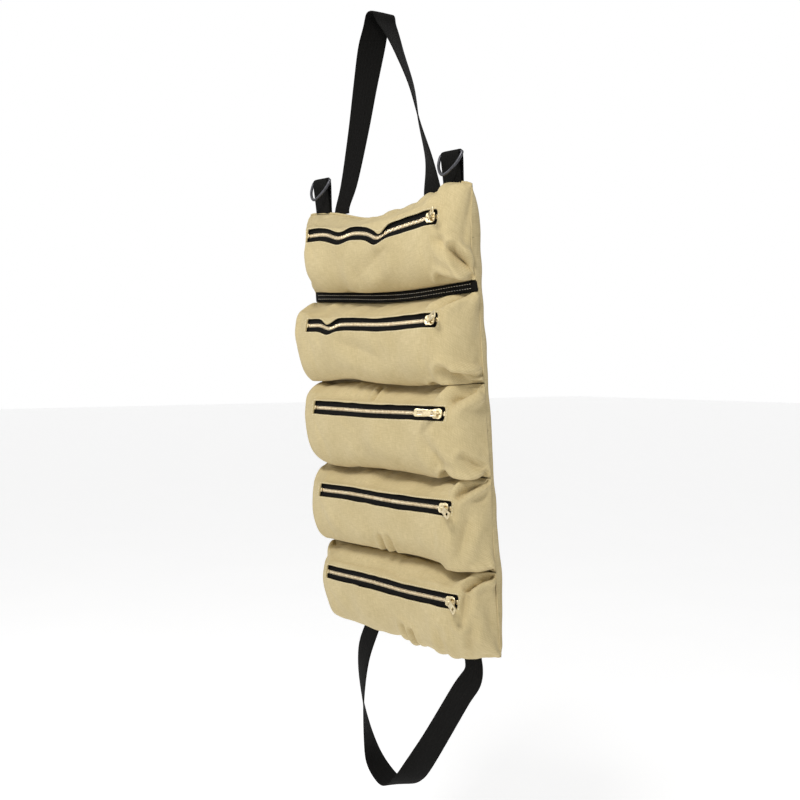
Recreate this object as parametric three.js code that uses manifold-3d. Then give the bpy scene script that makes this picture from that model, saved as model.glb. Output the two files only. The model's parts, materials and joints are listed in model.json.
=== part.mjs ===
// Hanging roll-up tool bag: five zipped canvas pockets in a column, each hinged to the next along its
// seam, hung from a webbing loop, with two D-rings on webbing tabs and a webbing loop to close the roll.
// Millimetres, +Z up. The pockets face -Y. The origin is where the hanging loop rests on its hook.

import * as THREE from 'three';
import { mergeVertices } from 'three/addons/utils/BufferGeometryUtils.js';
import Module from 'manifold-3d';

const wasm = await Module();
wasm.setup();

// ---- driving dimensions -------------------------------------------------------------------------------
const PANEL_WIDTH = 350;
const POCKETS = [
  { height: 119, depth: 40, pullAngle: 28, pullDroop: -10 },
  { height: 111, depth: 52, pullAngle: 20, pullDroop: -12 },
  { height: 113, depth: 50, pullAngle: 142, pullDroop: -6 },
  { height: 114, depth: 50, pullAngle: 14, pullDroop: 20 },
  { height: 103, depth: 48, pullAngle: 16, pullDroop: 21 },
];
const LOOP_RISE = 234; // from the top hem to the underside of the hanging loop
const LOOP_SETBACK = 12; // the hook is this far behind the seams
const HANG_LEAN = 4.8; // degrees; the pockets' weight is in front of the hem, so the roll hangs at this lean
const CANVAS = 2;
const GAP = 0.3; // between pieces that touch
const BACK_BULGE = 10;
const BACK_EDGE_BULGE = 5.5;
const END_ROUNDING = 21; // length of the rounded end of a stuffed pocket
const PLUMPNESS = 0.8; // exponent of the pocket's section: 1 is an ellipse, less is fuller
const HEM_SAG = 9; // the top hem hangs down between the feet of the hanging loop
const HEM_SAG_HALF_WIDTH = 88;
const SAG_FADE = 5; // the sag dies away towards the zip as this power of the height

const WEBBING_WIDTH = 34;
const WEBBING = 1.8;
const SEAM_PLANE = -1.2; // webbing and hinge lines lie in the middle of the hem
const HEM_CLEARANCE = 1.6;
const FOOT_SQUARING = 8; // the closing loop's width is square to its route after an eighth of its length
const BAND_HEIGHT = 13.4;
const BAND_THICKNESS = 2.4;

const ZIP_BELOW_TOP = 32;
const ZIP_SLOT = { left: -131, right: 151.2, halfHeight: 8.5 };
const TAPE = { inner: 2.8, outer: 11, front: 4.8, thickness: 1, overrun: 2.5 };
const CHAIN = { halfWidth: 2.4, front: 3.4, back: 6.2, left: -127, right: 147.5 };
const STOP = { front: 1.8, length: 2.7 };
const SLIDER = { length: 14, narrow: 4.9, wide: 6, front: 0.3, plateBack: 2.9, flangeBack: 4.5, channel: 3 };
const BRIDGE = { halfLength: 5, window: 2.6, height: 3.6, windowHeight: 2.4, halfWidth: 1.2 };
const PULL = { length: 26, halfWidth: 4.3, thickness: 1.3, eyeEnd: 6, eyeHalfWidth: 3.1 };

const TAB_X = 141;
const TAB_HEIGHT = 46;
const RING = { halfWidth: 20.4, reach: 29, wire: 1.9, tilt: 30 };

// ---- materials ----------------------------------------------------------------------------------------
const canvas = new THREE.MeshStandardMaterial({ color: 0xcdb987, roughness: 0.9, metalness: 0 });
const webbing = new THREE.MeshStandardMaterial({ color: 0x201f1d, roughness: 0.85, metalness: 0 });
const zipTape = new THREE.MeshStandardMaterial({ color: 0x1b1a1c, roughness: 0.9, metalness: 0 });
const brass = new THREE.MeshStandardMaterial({ color: 0xd8c489, roughness: 0.35, metalness: 1 });
const darkSteel = new THREE.MeshStandardMaterial({ color: 0x46464a, roughness: 0.4, metalness: 0.9 });

// ---- geometry helpers ---------------------------------------------------------------------------------
const radians = THREE.MathUtils.degToRad;

function solidFromTriangles(points, triangles) {
  const geometry = new THREE.BufferGeometry();
  const corners = points.flatMap((p) => [p.x, p.y, p.z]);
  geometry.setAttribute('position', new THREE.Float32BufferAttribute(corners, 3));
  let volume = 0;
  for (const [a, b, c] of triangles) {
    volume += points[a].dot(new THREE.Vector3().crossVectors(points[b], points[c]));
  }
  const outward = volume > 0 ? triangles : triangles.map(([a, b, c]) => [a, c, b]);
  geometry.setIndex(outward.flat());
  geometry.computeVertexNormals();
  return geometry;
}

// A solid through a row of like sections, each a loop of points; an open row gets flat ends.
function sweep(sections, closed = false) {
  const count = sections[0].length;
  const points = sections.flat();
  const triangles = [];
  const last = closed ? sections.length : sections.length - 1;
  for (let i = 0; i < last; i++) {
    const next = (i + 1) % sections.length;
    for (let j = 0; j < count; j++) {
      const k = (j + 1) % count;
      triangles.push([i * count + j, i * count + k, next * count + k]);
      triangles.push([i * count + j, next * count + k, next * count + j]);
    }
  }
  if (!closed) {
    const end = (sections.length - 1) * count;
    for (const [a, b, c] of capTriangles(sections[0])) {
      triangles.push([c, b, a]);
    }
    for (const [a, b, c] of capTriangles(sections[sections.length - 1])) {
      triangles.push([end + a, end + b, end + c]);
    }
  }
  return solidFromTriangles(points, triangles);
}

// Triangles that fill one flat section, turned the way of its points.
function capTriangles(section) {
  const normal = new THREE.Vector3();
  section.forEach((p, i) => normal.add(new THREE.Vector3().crossVectors(p, section[(i + 1) % section.length])));
  normal.normalize();
  const across = new THREE.Vector3(0.3, 0.5, 0.8).cross(normal).normalize();
  const along = new THREE.Vector3().crossVectors(normal, across);
  const flat = section.map((p) => new THREE.Vector2(p.dot(across), p.dot(along)));
  return THREE.ShapeUtils.triangulateShape(flat, []);
}

// A flat strip given by its left and right edge points, thickened evenly both ways.
function ribbon(pairs, thickness) {
  const sections = pairs.map(([left, right], i) => {
    const before = pairs[Math.max(i - 1, 0)];
    const after = pairs[Math.min(i + 1, pairs.length - 1)];
    const tangent = after[0].clone().add(after[1]).sub(before[0]).sub(before[1]);
    const normal = right.clone().sub(left).cross(tangent).setLength(thickness / 2);
    return [
      left.clone().add(normal),
      right.clone().add(normal),
      right.clone().sub(normal),
      left.clone().sub(normal),
    ];
  });
  return sweep(sections);
}

// The two edges of webbing along a route. Each row of the route is the middle of the webbing and how far its
// width has turned from X towards Y, in degrees. The width lies along the hem at both feet, and square to the
// route in between.
function webbingEdges(route, steps) {
  const curve = (points) => new THREE.CatmullRomCurve3(points, false, 'catmullrom', 0.5);
  const middles = curve(route.map(([x, y, z]) => new THREE.Vector3(x, y, z)));
  const turns = curve(route.map(([, , , turn]) => new THREE.Vector3(turn, 0, 0)));
  return spread(0, 1, steps).map((t) => {
    const middle = middles.getPoint(t);
    const along = middles.getTangent(t);
    const turn = radians(turns.getPoint(t).x);
    const across = new THREE.Vector3(Math.cos(turn), Math.sin(turn), 0);
    const square = Math.min(1, FOOT_SQUARING * t, FOOT_SQUARING * (1 - t));
    across.addScaledVector(along, -square * across.dot(along)).setLength(WEBBING_WIDTH / 2);
    return [middle.clone().sub(across), middle.clone().add(across)];
  });
}

// A canvas skin between two grids of points; cells that keep() rejects are left open.
function skin(outer, inner, keep = () => true) {
  const columns = outer.length;
  const rows = outer[0].length;
  const points = [...outer.flat(), ...inner.flat()];
  const front = (i, j) => i * rows + j;
  const back = (i, j) => columns * rows + i * rows + j;
  const inside = (i, j) => i >= 0 && j >= 0 && i < columns - 1 && j < rows - 1 && keep(i, j);
  const triangles = [];
  const quad = (a, b, c, d) => triangles.push([a, b, c], [a, c, d]);
  for (let i = 0; i < columns - 1; i++) {
    for (let j = 0; j < rows - 1; j++) {
      if (!inside(i, j)) continue;
      quad(front(i, j), front(i + 1, j), front(i + 1, j + 1), front(i, j + 1));
      quad(back(i, j), back(i, j + 1), back(i + 1, j + 1), back(i + 1, j));
      if (!inside(i - 1, j)) quad(front(i, j), front(i, j + 1), back(i, j + 1), back(i, j));
      if (!inside(i + 1, j)) quad(front(i + 1, j + 1), front(i + 1, j), back(i + 1, j), back(i + 1, j + 1));
      if (!inside(i, j - 1)) quad(front(i + 1, j), front(i, j), back(i, j), back(i + 1, j));
      if (!inside(i, j + 1)) quad(front(i, j + 1), front(i + 1, j + 1), back(i + 1, j + 1), back(i, j + 1));
    }
  }
  return solidFromTriangles(points, triangles);
}

function block(x0, x1, y0, y1, z0, z1) {
  const geometry = new THREE.BoxGeometry(x1 - x0, y1 - y0, z1 - z0);
  geometry.translate((x0 + x1) / 2, (y0 + y1) / 2, (z0 + z1) / 2);
  return geometry;
}

function toManifold(geometry) {
  const bare = geometry.clone();
  bare.deleteAttribute('normal');
  bare.deleteAttribute('uv');
  const merged = mergeVertices(bare);
  return new wasm.Manifold(
    new wasm.Mesh({
      numProp: 3,
      vertProperties: new Float32Array(merged.attributes.position.array),
      triVerts: new Uint32Array(merged.index.array),
    }),
  );
}

function join(first, second) {
  const mesh = toManifold(first).add(toManifold(second)).getMesh();
  const geometry = new THREE.BufferGeometry();
  geometry.setAttribute('position', new THREE.BufferAttribute(new Float32Array(mesh.vertProperties), 3));
  geometry.setIndex(Array.from(mesh.triVerts));
  geometry.computeVertexNormals();
  return geometry;
}

function piece(parent, name, geometry, material) {
  const mesh = new THREE.Mesh(geometry, material);
  mesh.name = name;
  parent.add(mesh);
}

// ---- pockets ------------------------------------------------------------------------------------------
// The roll's own frame: Z = 0 at its top hem, Y = 0 in its seams, and it leans as it hangs.
const rollGroup = new THREE.Group();
rollGroup.rotation.x = radians(HANG_LEAN);
rollGroup.position.set(0, -LOOP_SETBACK, -LOOP_RISE).applyEuler(rollGroup.rotation);

// How far the top hem hangs below its straight line.
function hemSag(x) {
  const across = Math.min(Math.abs(x) / HEM_SAG_HALF_WIDTH, 1);
  return (HEM_SAG * (1 + Math.cos(Math.PI * across))) / 2;
}

// 0 along the pocket, rising to 1 through its rounded ends.
function intoEnd(x) {
  return Math.max(Math.abs(x) - (PANEL_WIDTH / 2 - END_ROUNDING), 0) / END_ROUNDING;
}

// 1 along the pocket, falling to 0 at its ends in a quarter ellipse.
function endTaper(x) {
  return Math.sqrt(Math.max(1 - intoEnd(x) ** 2, 0));
}

// The stuffed front of one pocket, in the roll's frame. turn runs from 0 at its top seam to PI at its
// bottom seam, and inset is how deep inside the canvas the point lies.
function pocketPoint(pocket, x, turn, inset) {
  const middle = (pocket.top + pocket.bottom) / 2;
  const half = (pocket.top - pocket.bottom) / 2 - GAP;
  const cosine = Math.cos(turn);
  const high = Math.sign(cosine) * Math.abs(cosine) ** PLUMPNESS;
  const drop = pocket.sags ? hemSag(x) * Math.max(high, 0) ** SAG_FADE : 0;
  const forward = Math.sin(turn) ** PLUMPNESS * endTaper(x);
  const y = -CANVAS - GAP - (pocket.depth - inset) * forward;
  const narrowed = x - Math.sign(x) * inset * intoEnd(x);
  return new THREE.Vector3(narrowed, y, middle + high * (half - inset) - drop);
}

// Where the zip crosses the middle of a pocket, and how far its face leans back from upright.
function zipSeat(pocket) {
  const half = (pocket.top - pocket.bottom) / 2 - GAP;
  const high = (half - ZIP_BELOW_TOP + GAP) / half;
  const turn = Math.acos(high ** (1 / PLUMPNESS));
  const step = 0.01;
  const straight = { ...pocket, sags: false };
  const above = pocketPoint(straight, 0, turn - step, 0);
  const below = pocketPoint(straight, 0, turn + step, 0);
  const point = pocketPoint(straight, 0, turn, 0);
  const run = above.distanceTo(below);
  const lean = Math.atan2(above.y - below.y, above.z - below.z);
  const halfSlot = (ZIP_SLOT.halfHeight / run) * 2 * step;
  return { point, lean, slotTop: turn - halfSlot, slotBottom: turn + halfSlot };
}

function spread(from, to, steps) {
  return Array.from({ length: steps + 1 }, (_, i) => from + ((to - from) * i) / steps);
}

function pocketFront(pocket, seat) {
  const end = PANEL_WIDTH / 2;
  const rounded = [0, 3, 10, END_ROUNDING];
  const columns = rounded.map((into) => into - end);
  columns.push(...spread(ZIP_SLOT.left, ZIP_SLOT.right, 6), ...rounded.reverse().map((into) => end - into));
  const rows = [...spread(0, seat.slotTop, 4), ...spread(seat.slotBottom, Math.PI, 9)];
  const slotRow = 4;
  const grid = (inset) => columns.map((x) => rows.map((turn) => pocketPoint(pocket, x, turn, inset)));
  const inSlot = (i) => columns[i] >= ZIP_SLOT.left && columns[i + 1] <= ZIP_SLOT.right;
  return skin(grid(0), grid(CANVAS), (i, j) => !(j === slotRow && inSlot(i)));
}

// The back canvas of one pocket: flat at its seams and pressed out behind.
function backPanel(panel) {
  const end = PANEL_WIDTH / 2;
  const columns = [-end, -160, -HEM_SAG_HALF_WIDTH, -44, 0, 44, HEM_SAG_HALF_WIDTH, 160, end];
  const acrossBulge = (x) => (Math.abs(x) === end ? 0 : Math.abs(x) === 160 ? BACK_EDGE_BULGE : BACK_BULGE);
  const rows = [[0, 0], [0.12, BACK_EDGE_BULGE], [0.35, BACK_BULGE]];
  rows.push([0.65, BACK_BULGE], [0.88, BACK_EDGE_BULGE], [1, 0]);
  const grid = (offset) =>
    columns.map((x) => {
      const top = panel.top - (panel.sags ? hemSag(x) : 0) - GAP / 2;
      const bottom = panel.bottom + GAP / 2;
      return rows.map(([down, bulge]) => {
        const y = Math.min(bulge, acrossBulge(x)) + offset;
        return new THREE.Vector3(x, y, top + (bottom - top) * down);
      });
    });
  return skin(grid(-CANVAS), grid(0));
}

// ---- zips ---------------------------------------------------------------------------------------------
// A zip's own frame: X along it, -Y out of the pocket's face, +Z up the face.

function sliderBody() {
  const half = SLIDER.length / 2;
  const channelSection = (x, width) =>
    [
      [-width, SLIDER.front],
      [width, SLIDER.front],
      [width, SLIDER.flangeBack],
      [SLIDER.channel, SLIDER.flangeBack],
      [SLIDER.channel, SLIDER.plateBack],
      [-SLIDER.channel, SLIDER.plateBack],
      [-SLIDER.channel, SLIDER.flangeBack],
      [-width, SLIDER.flangeBack],
    ].map(([z, y]) => new THREE.Vector3(x, y, z));
  const body = sweep([
    channelSection(-half, SLIDER.narrow),
    channelSection(0, SLIDER.narrow + 0.3),
    channelSection(half - 3, SLIDER.wide),
    channelSection(half, SLIDER.wide - 0.8),
  ]);
  const root = SLIDER.front + 0.5;
  const roof = SLIDER.front - BRIDGE.height;
  const windowTop = SLIDER.front - BRIDGE.windowHeight;
  const arch = new THREE.Shape(
    [
      [-BRIDGE.halfLength, root],
      [-BRIDGE.halfLength, roof + 0.8],
      [-BRIDGE.halfLength + 0.8, roof],
      [BRIDGE.halfLength - 0.8, roof],
      [BRIDGE.halfLength, roof + 0.8],
      [BRIDGE.halfLength, root],
      [BRIDGE.window, root],
      [BRIDGE.window, windowTop],
      [-BRIDGE.window, windowTop],
      [-BRIDGE.window, root],
    ].map(([x, y]) => new THREE.Vector2(x, y)),
  );
  const bridge = new THREE.ExtrudeGeometry(arch, { depth: BRIDGE.halfWidth * 2, bevelEnabled: false });
  bridge.translate(0, 0, -BRIDGE.halfWidth);
  return join(body, bridge);
}

// The pull lies along +X from its crossbar, which is in the bridge's window at the origin.
function pullTab() {
  const { length, halfWidth, thickness, eyeEnd, eyeHalfWidth } = PULL;
  const bar = thickness / 2;
  const corner = 1.4;
  const outline = new THREE.Shape();
  outline.moveTo(-bar, -halfWidth);
  outline.lineTo(length - corner, -halfWidth);
  outline.lineTo(length, -halfWidth + corner);
  outline.lineTo(length, halfWidth - corner);
  outline.lineTo(length - corner, halfWidth);
  outline.lineTo(-bar, halfWidth);
  const cut = (x0, x1, half) =>
    new THREE.Path([
      new THREE.Vector2(x0, -half),
      new THREE.Vector2(x0, half),
      new THREE.Vector2(x1, half),
      new THREE.Vector2(x1, -half),
    ]);
  outline.holes.push(cut(bar, eyeEnd, eyeHalfWidth), cut(length - 9, length - 3, 2.4));
  const geometry = new THREE.ExtrudeGeometry(outline, { depth: thickness, bevelEnabled: false });
  geometry.translate(0, 0, -thickness / 2);
  geometry.rotateX(Math.PI / 2);
  return geometry;
}

function addZip(number, pocket, seat) {
  const zip = new THREE.Group();
  zip.position.copy(seat.point);
  zip.rotation.x = -seat.lean;
  const name = (part) => `zip_${number}_${part}`;
  const tapeLeft = ZIP_SLOT.left - TAPE.overrun;
  const tapeRight = ZIP_SLOT.right + TAPE.overrun;
  const tapeBack = TAPE.front + TAPE.thickness;
  const upper = block(tapeLeft, tapeRight, TAPE.front, tapeBack, TAPE.inner, TAPE.outer);
  const lower = block(tapeLeft, tapeRight, TAPE.front, tapeBack, -TAPE.outer, -TAPE.inner);
  piece(zip, name('upper_tape'), upper, zipTape);
  piece(zip, name('lower_tape'), lower, zipTape);

  const { left, right, front, back, halfWidth } = CHAIN;
  piece(zip, name('teeth'), block(left, right, front, back, -halfWidth, halfWidth), brass);
  const stop = (x) => block(x, x + STOP.length, STOP.front, back, -halfWidth, halfWidth);
  piece(zip, name('bottom_stop'), stop(left - GAP - STOP.length), brass);
  piece(zip, name('top_stop'), stop(right + 2 * GAP), brass);

  const slider = new THREE.Group();
  slider.position.x = right - SLIDER.length / 2;
  piece(slider, name('slider'), sliderBody(), brass);
  const hinge = new THREE.Group();
  hinge.position.y = SLIDER.front - BRIDGE.windowHeight / 2;
  hinge.rotation.y = radians(pocket.pullDroop);
  const swing = new THREE.Group();
  swing.rotation.z = -radians(pocket.pullAngle);
  piece(swing, name('pull'), pullTab(), brass);
  hinge.add(swing);
  slider.add(hinge);
  zip.add(slider);
  rollGroup.add(zip);
}

let seam = 0;
POCKETS.forEach((size, index) => {
  const panel = { top: seam, bottom: seam - size.height, depth: size.depth, sags: index === 0 };
  const pocket = { ...panel, bottom: index === 0 ? panel.bottom + BAND_HEIGHT : panel.bottom };
  const number = index + 1;
  const seat = zipSeat(pocket);
  piece(rollGroup, `back_panel_${number}`, backPanel(panel), canvas);
  piece(rollGroup, `pocket_${number}`, pocketFront(pocket, seat), canvas);
  addZip(number, size, seat);
  seam = panel.bottom;
});
const bottomHem = seam;

const bandBottom = -POCKETS[0].height + GAP;
const bandTop = bandBottom + BAND_HEIGHT - 2 * GAP;
const bandFront = -CANVAS - GAP - BAND_THICKNESS;
const halfPanel = PANEL_WIDTH / 2;
const band = block(-halfPanel, halfPanel, bandFront, -CANVAS - GAP, bandBottom, bandTop);
piece(rollGroup, 'cross_band', band, webbing);

// ---- hanging loop -------------------------------------------------------------------------------------
// Each row of a leg is its height, the middle of the webbing in X and Y, how far its width has turned
// from X towards Y in degrees, and how far its edge falls.
const LEFT_LEG = [
  [HEM_CLEARANCE, -96, SEAM_PLANE, 0, 0],
  [32, -80, 1.5, 5, -3],
  [95, -56, 5, 16, -5],
  [150, -38, 8, 28, -7],
  [195, -22, 10.5, 52, -6],
  [220, -11, 12, 74, -2],
];
const RIGHT_LEG = [
  [HEM_CLEARANCE, 100, SEAM_PLANE, 0, 0],
  [41, 93, 2, -24, 0],
  [88, 75, 5, -37, 0],
  [135, 61, 7, -49, 0],
  [180, 38, 9, -59, 0],
  [205, 23, 11, -70, 0],
  [222, 11, 12, -82, 0],
];
const APEX_HALF_LENGTH = 6;

function legPair([z, x, y, turn, fall]) {
  const half = WEBBING_WIDTH / 2;
  const across = new THREE.Vector3(Math.cos(radians(turn)) * half, Math.sin(radians(turn)) * half, fall / 2);
  const middle = new THREE.Vector3(x, y, z);
  return [middle.clone().sub(across), middle.clone().add(across)];
}

// The top of the loop is level, so in the leaning frame its back edge is lower than its front edge.
function hangingLoop() {
  const lean = radians(HANG_LEAN);
  const topZ = LOOP_RISE + (WEBBING / 2) * Math.cos(lean);
  const topY = LOOP_SETBACK + (WEBBING / 2) * Math.sin(lean);
  const fall = -WEBBING_WIDTH * Math.tan(lean);
  const apex = (x) => legPair([topZ, x, topY, 90, fall]);
  const bend = (side) => legPair([topZ - 3.2, side * (APEX_HALF_LENGTH + 2.6), topY, 90, fall]);
  const edgeCurves = (leg) => {
    const rows = leg.map(legPair);
    return [0, 1].map((side) => new THREE.CatmullRomCurve3(rows.map((r) => r[side]), false, 'catmullrom', 0.5));
  };
  const steps = 15;
  const sample = ([a, b]) => spread(0, 1, steps).map((t) => [a.getPoint(t), b.getPoint(t)]);
  const left = sample(edgeCurves(LEFT_LEG));
  const right = sample(edgeCurves(RIGHT_LEG)).reverse();
  const turned = right.map(([a, b]) => [b, a]);
  return ribbon([...left, bend(-1), apex(-APEX_HALF_LENGTH), apex(APEX_HALF_LENGTH), bend(1), ...turned], WEBBING);
}
piece(rollGroup, 'hanging_strap', hangingLoop(), webbing);

// ---- ring tabs and D-rings ----------------------------------------------------------------------------
const ringBarZ = TAB_HEIGHT - WEBBING - RING.wire - GAP;

function ringTab(x) {
  const bend = RING.wire + GAP + WEBBING / 2;
  const foot = 1.2;
  const path = [[foot, GAP], [bend, ringBarZ - 8]];
  for (const angle of spread(0, 180, 6)) {
    path.push([bend * Math.cos(radians(angle)), ringBarZ + bend * Math.sin(radians(angle))]);
  }
  path.push([-bend, ringBarZ - 8], [-foot, GAP]);
  const half = WEBBING_WIDTH / 2;
  const pairs = path.map(([y, z]) => [
    new THREE.Vector3(x - half, SEAM_PLANE + y, z),
    new THREE.Vector3(x + half, SEAM_PLANE + y, z),
  ]);
  return ribbon(pairs, WEBBING);
}

// A D-ring about its straight bar, which lies along X at the origin; the bow hangs down.
function dRing() {
  const { halfWidth, reach, wire } = RING;
  const path = spread(-1, 1, 2).map((side) => new THREE.Vector2(side * (halfWidth - 2), 0));
  path.push(new THREE.Vector2(halfWidth, -2.2));
  for (const angle of spread(8, 172, 12)) {
    path.push(new THREE.Vector2(halfWidth * Math.cos(radians(angle)), -reach * Math.sin(radians(angle))));
  }
  path.push(new THREE.Vector2(-halfWidth, -2.2));
  const sides = 8;
  const sections = path.map((p, i) => {
    const before = path[(i + path.length - 1) % path.length];
    const after = path[(i + 1) % path.length];
    const outward = new THREE.Vector2(-(after.y - before.y), after.x - before.x).normalize();
    return spread(0, 360, sides)
      .slice(0, sides)
      .map((angle) => {
        const out = wire * Math.cos(radians(angle));
        return new THREE.Vector3(p.x + outward.x * out, wire * Math.sin(radians(angle)), p.y + outward.y * out);
      });
  });
  return sweep(sections, true);
}

for (const [side, x] of [['left', -TAB_X], ['right', TAB_X]]) {
  piece(rollGroup, `${side}_ring_tab`, ringTab(x), webbing);
  const ring = new THREE.Group();
  ring.position.set(x, SEAM_PLANE, ringBarZ);
  ring.rotation.x = -radians(RING.tilt);
  piece(ring, `${side}_ring`, dRing(), darkSteel);
  rollGroup.add(ring);
}

// ---- closing loop -------------------------------------------------------------------------------------
// The route of the webbing below the bottom hem: from its right foot down in front, round the bottom, and up
// behind to its left foot. Each row is X, Y, the height above the hem, and the turn of the width.
const CLOSING_ROUTE = [
  [120, SEAM_PLANE, -HEM_CLEARANCE, 0],
  [120, -1.4, -34, 0],
  [92, -3, -68, 4],
  [18, -7, -160, 14],
  [-33, -5, -210, 40],
  [-78, 2, -230, 66],
  [-115, 3, -212, 95],
  [-130, 2, -175, 125],
  [-134, 0, -115, 152],
  [-122, -1, -55, 172],
  [-90, SEAM_PLANE, -HEM_CLEARANCE, 180],
];
const closingRoute = CLOSING_ROUTE.map(([x, y, z, turn]) => [x, y, bottomHem + z, turn]);
piece(rollGroup, 'closing_strap', ribbon(webbingEdges(closingRoute, 40), WEBBING), webbing);

const toolRoll = new THREE.Group();
toolRoll.add(rollGroup);
export default toolRoll;
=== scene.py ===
"""The looks of the hanging tool roll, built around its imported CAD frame.

Shapes are worked out in millimetres in the roll's own frame: X across, Y = 0 in its seams with the pockets
towards -Y, and Z = 0 at its top hem. The hanging roll leans, and to_row() places a point in the row frame.
"""

import json
import math

import bmesh
import bpy
import numpy as np
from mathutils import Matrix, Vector


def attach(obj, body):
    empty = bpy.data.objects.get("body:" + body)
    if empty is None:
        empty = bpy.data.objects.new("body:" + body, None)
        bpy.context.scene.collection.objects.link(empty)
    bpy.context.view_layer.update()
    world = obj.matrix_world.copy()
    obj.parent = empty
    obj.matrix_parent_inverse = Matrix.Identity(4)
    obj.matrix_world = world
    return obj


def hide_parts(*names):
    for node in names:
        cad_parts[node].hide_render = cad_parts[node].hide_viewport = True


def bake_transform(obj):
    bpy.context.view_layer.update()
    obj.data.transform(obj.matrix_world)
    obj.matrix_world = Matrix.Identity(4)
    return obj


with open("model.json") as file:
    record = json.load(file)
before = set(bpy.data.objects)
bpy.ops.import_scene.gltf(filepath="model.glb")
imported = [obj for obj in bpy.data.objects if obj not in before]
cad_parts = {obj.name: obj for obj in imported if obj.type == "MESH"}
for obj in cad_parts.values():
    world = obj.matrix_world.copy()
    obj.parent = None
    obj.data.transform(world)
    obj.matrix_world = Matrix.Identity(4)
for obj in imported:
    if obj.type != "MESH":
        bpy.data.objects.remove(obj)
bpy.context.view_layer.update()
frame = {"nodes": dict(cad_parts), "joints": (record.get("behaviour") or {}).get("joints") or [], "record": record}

MM = 0.001

# ---- where the frame puts things ------------------------------------------------------------------------
joints = {joint["name"]: joint for joint in frame["joints"]}
mounts = {mount["name"]: mount for mount in frame["record"]["mounts"]}
SEAM_PLANE = -1.2  # the webbing and the hinge lines lie here, in the middle of the hems
back_normal = mounts["back_face"]["axis"]
LEAN = math.atan2(back_normal[2], back_normal[1])
TILT = np.array([[1, 0, 0], [0, math.cos(LEAN), -math.sin(LEAN)], [0, math.sin(LEAN), math.cos(LEAN)]])
ORIGIN = np.array(joints["strap_swing"]["pos_m"]) - TILT @ np.array([0, SEAM_PLANE * MM, 0])


def to_row(points):
    return np.asarray(points, float) @ TILT.T * MM + ORIGIN


def to_roll(point):
    return TILT.T @ (np.array(point) - ORIGIN) / MM


def roll_box(node):
    """Lowest and highest corner of a CAD node in the roll's frame, in millimetres."""
    points = np.array([v.co for v in frame["nodes"][node].data.vertices])
    points = (points - ORIGIN) @ TILT / MM
    return points.min(0), points.max(0)


POCKET_COUNT = 5
HALF_WIDTH = roll_box("back_panel_3")[1][0]
SEAM_Z = [0.0]
for upper in range(1, POCKET_COUNT):
    SEAM_Z.append(to_roll(joints[f"fold_{upper}_{upper + 1}"]["pos_m"])[2])
SEAM_Z.append(to_roll(joints["closing_strap_swing"]["pos_m"])[2])

# ---- sizes the looks share with the CAD -----------------------------------------------------------------
CANVAS = 2.0
GAP = 0.3
LEFT_CURVE, RIGHT_CURVE = 34, 65  # how far in from its side seams a pocket starts to curve back
LEFT_SLACK = [0.62, 0.08, 0.12, 0.12, 0.35]  # how much less full each pocket is at its left end
PLUMPNESS = 0.8
CLOTH_THICKNESS = 1.1
WEBBING_WIDTH = 34
WEBBING = 1.8
BACK_BULGE = 10
SLOT_LEFT, SLOT_RIGHT, SLOT_HALF = -131, 151.2, 8.5
TAPE_INNER, TAPE_OUTER, TAPE_END = 2.4, 10, 1.2
CHAIN_LEFT, CHAIN_RIGHT, CHAIN_FRONT, CHAIN_BACK = -127, 147.5, 3.4, 6.2
SLIDER_LENGTH = 14
SLIDER_X = CHAIN_RIGHT - SLIDER_LENGTH / 2
SHIELD_DEPTH, SHIELD_ROUNDING, SHIELD_INWARD = 1.5, 0.45, 1.15
FLANGE_DEPTH, FLANGE_ROUNDING, FLANGE_INWARD, FLANGE_SPREAD = 3.0, 0.35, 2.9, 5.0
BRIDGE_RADIUS, BRIDGE_WIDENING = 0.72, 1.5
HINGE_Y = -0.9
RING_TILT = 30
RING_WIRE, RING_HALF_WIDTH, RING_REACH = 1.9, 20.4, 29

# ---- how the cloth hangs --------------------------------------------------------------------------------
# Each line is a few bumps along it, in millimetres: (place, height, reach).
TOP_HEM = [(-25, -19, 75), (58, -6, 38), (148, 7, 26)]
BOTTOM_HEM = [(-40, -5, 110), (98, -12, 48)]
GROOVES = [
    [(15, -9.5, 150)],
    [(-72, 5, 40), (60, -3.5, 50)],
    [(-100, -3, 28), (83, -4, 32), (138, 3, 18)],
    [(-60, 9, 160), (60, 4, 50), (131, -5, 14)],
]
ZIP_WAVES = [
    [(-55, -7, 24), (35, -9, 65), (32, -6, 16)],
    [(-76, -5, 16), (45, -2.5, 60)],
    [(0, -1, 60)],
    [(-60, 0.8, 40), (40, -0.8, 45)],
    [(-40, 0.5, 40), (50, -1, 45)],
]
# The zips have no waves past these, where a slider stops.
WAVES_LEFT, WAVES_RIGHT, WAVES_FADE = -112, 133, 20
SLACK_START, SLACK_FULL = 127, 172  # how far out a slack left end starts, and where it is fully slack
# (x, drop, half width) of the places where the upper lip of a zip folds down over its tape
LIP_FOLDS = [[(42, 7.5, 9), (-48, 1.5, 14)], [(-80, 4, 12), (30, 1, 20)], [], [(-20, 1, 20)], []]
SEAM_SHIFT = [(-75, 6, 30), (-35, 3, 20)]
EDGE_ROLL_LEVEL = 7.5
EDGE_ROLL = [(-560, -4.5, 30), (-457, 3.5, 35), (-285, 1.5, 25), (-190, 1.5, 18), (-50, 2.5, 25),
             (0, -4.5, 18)]
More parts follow.
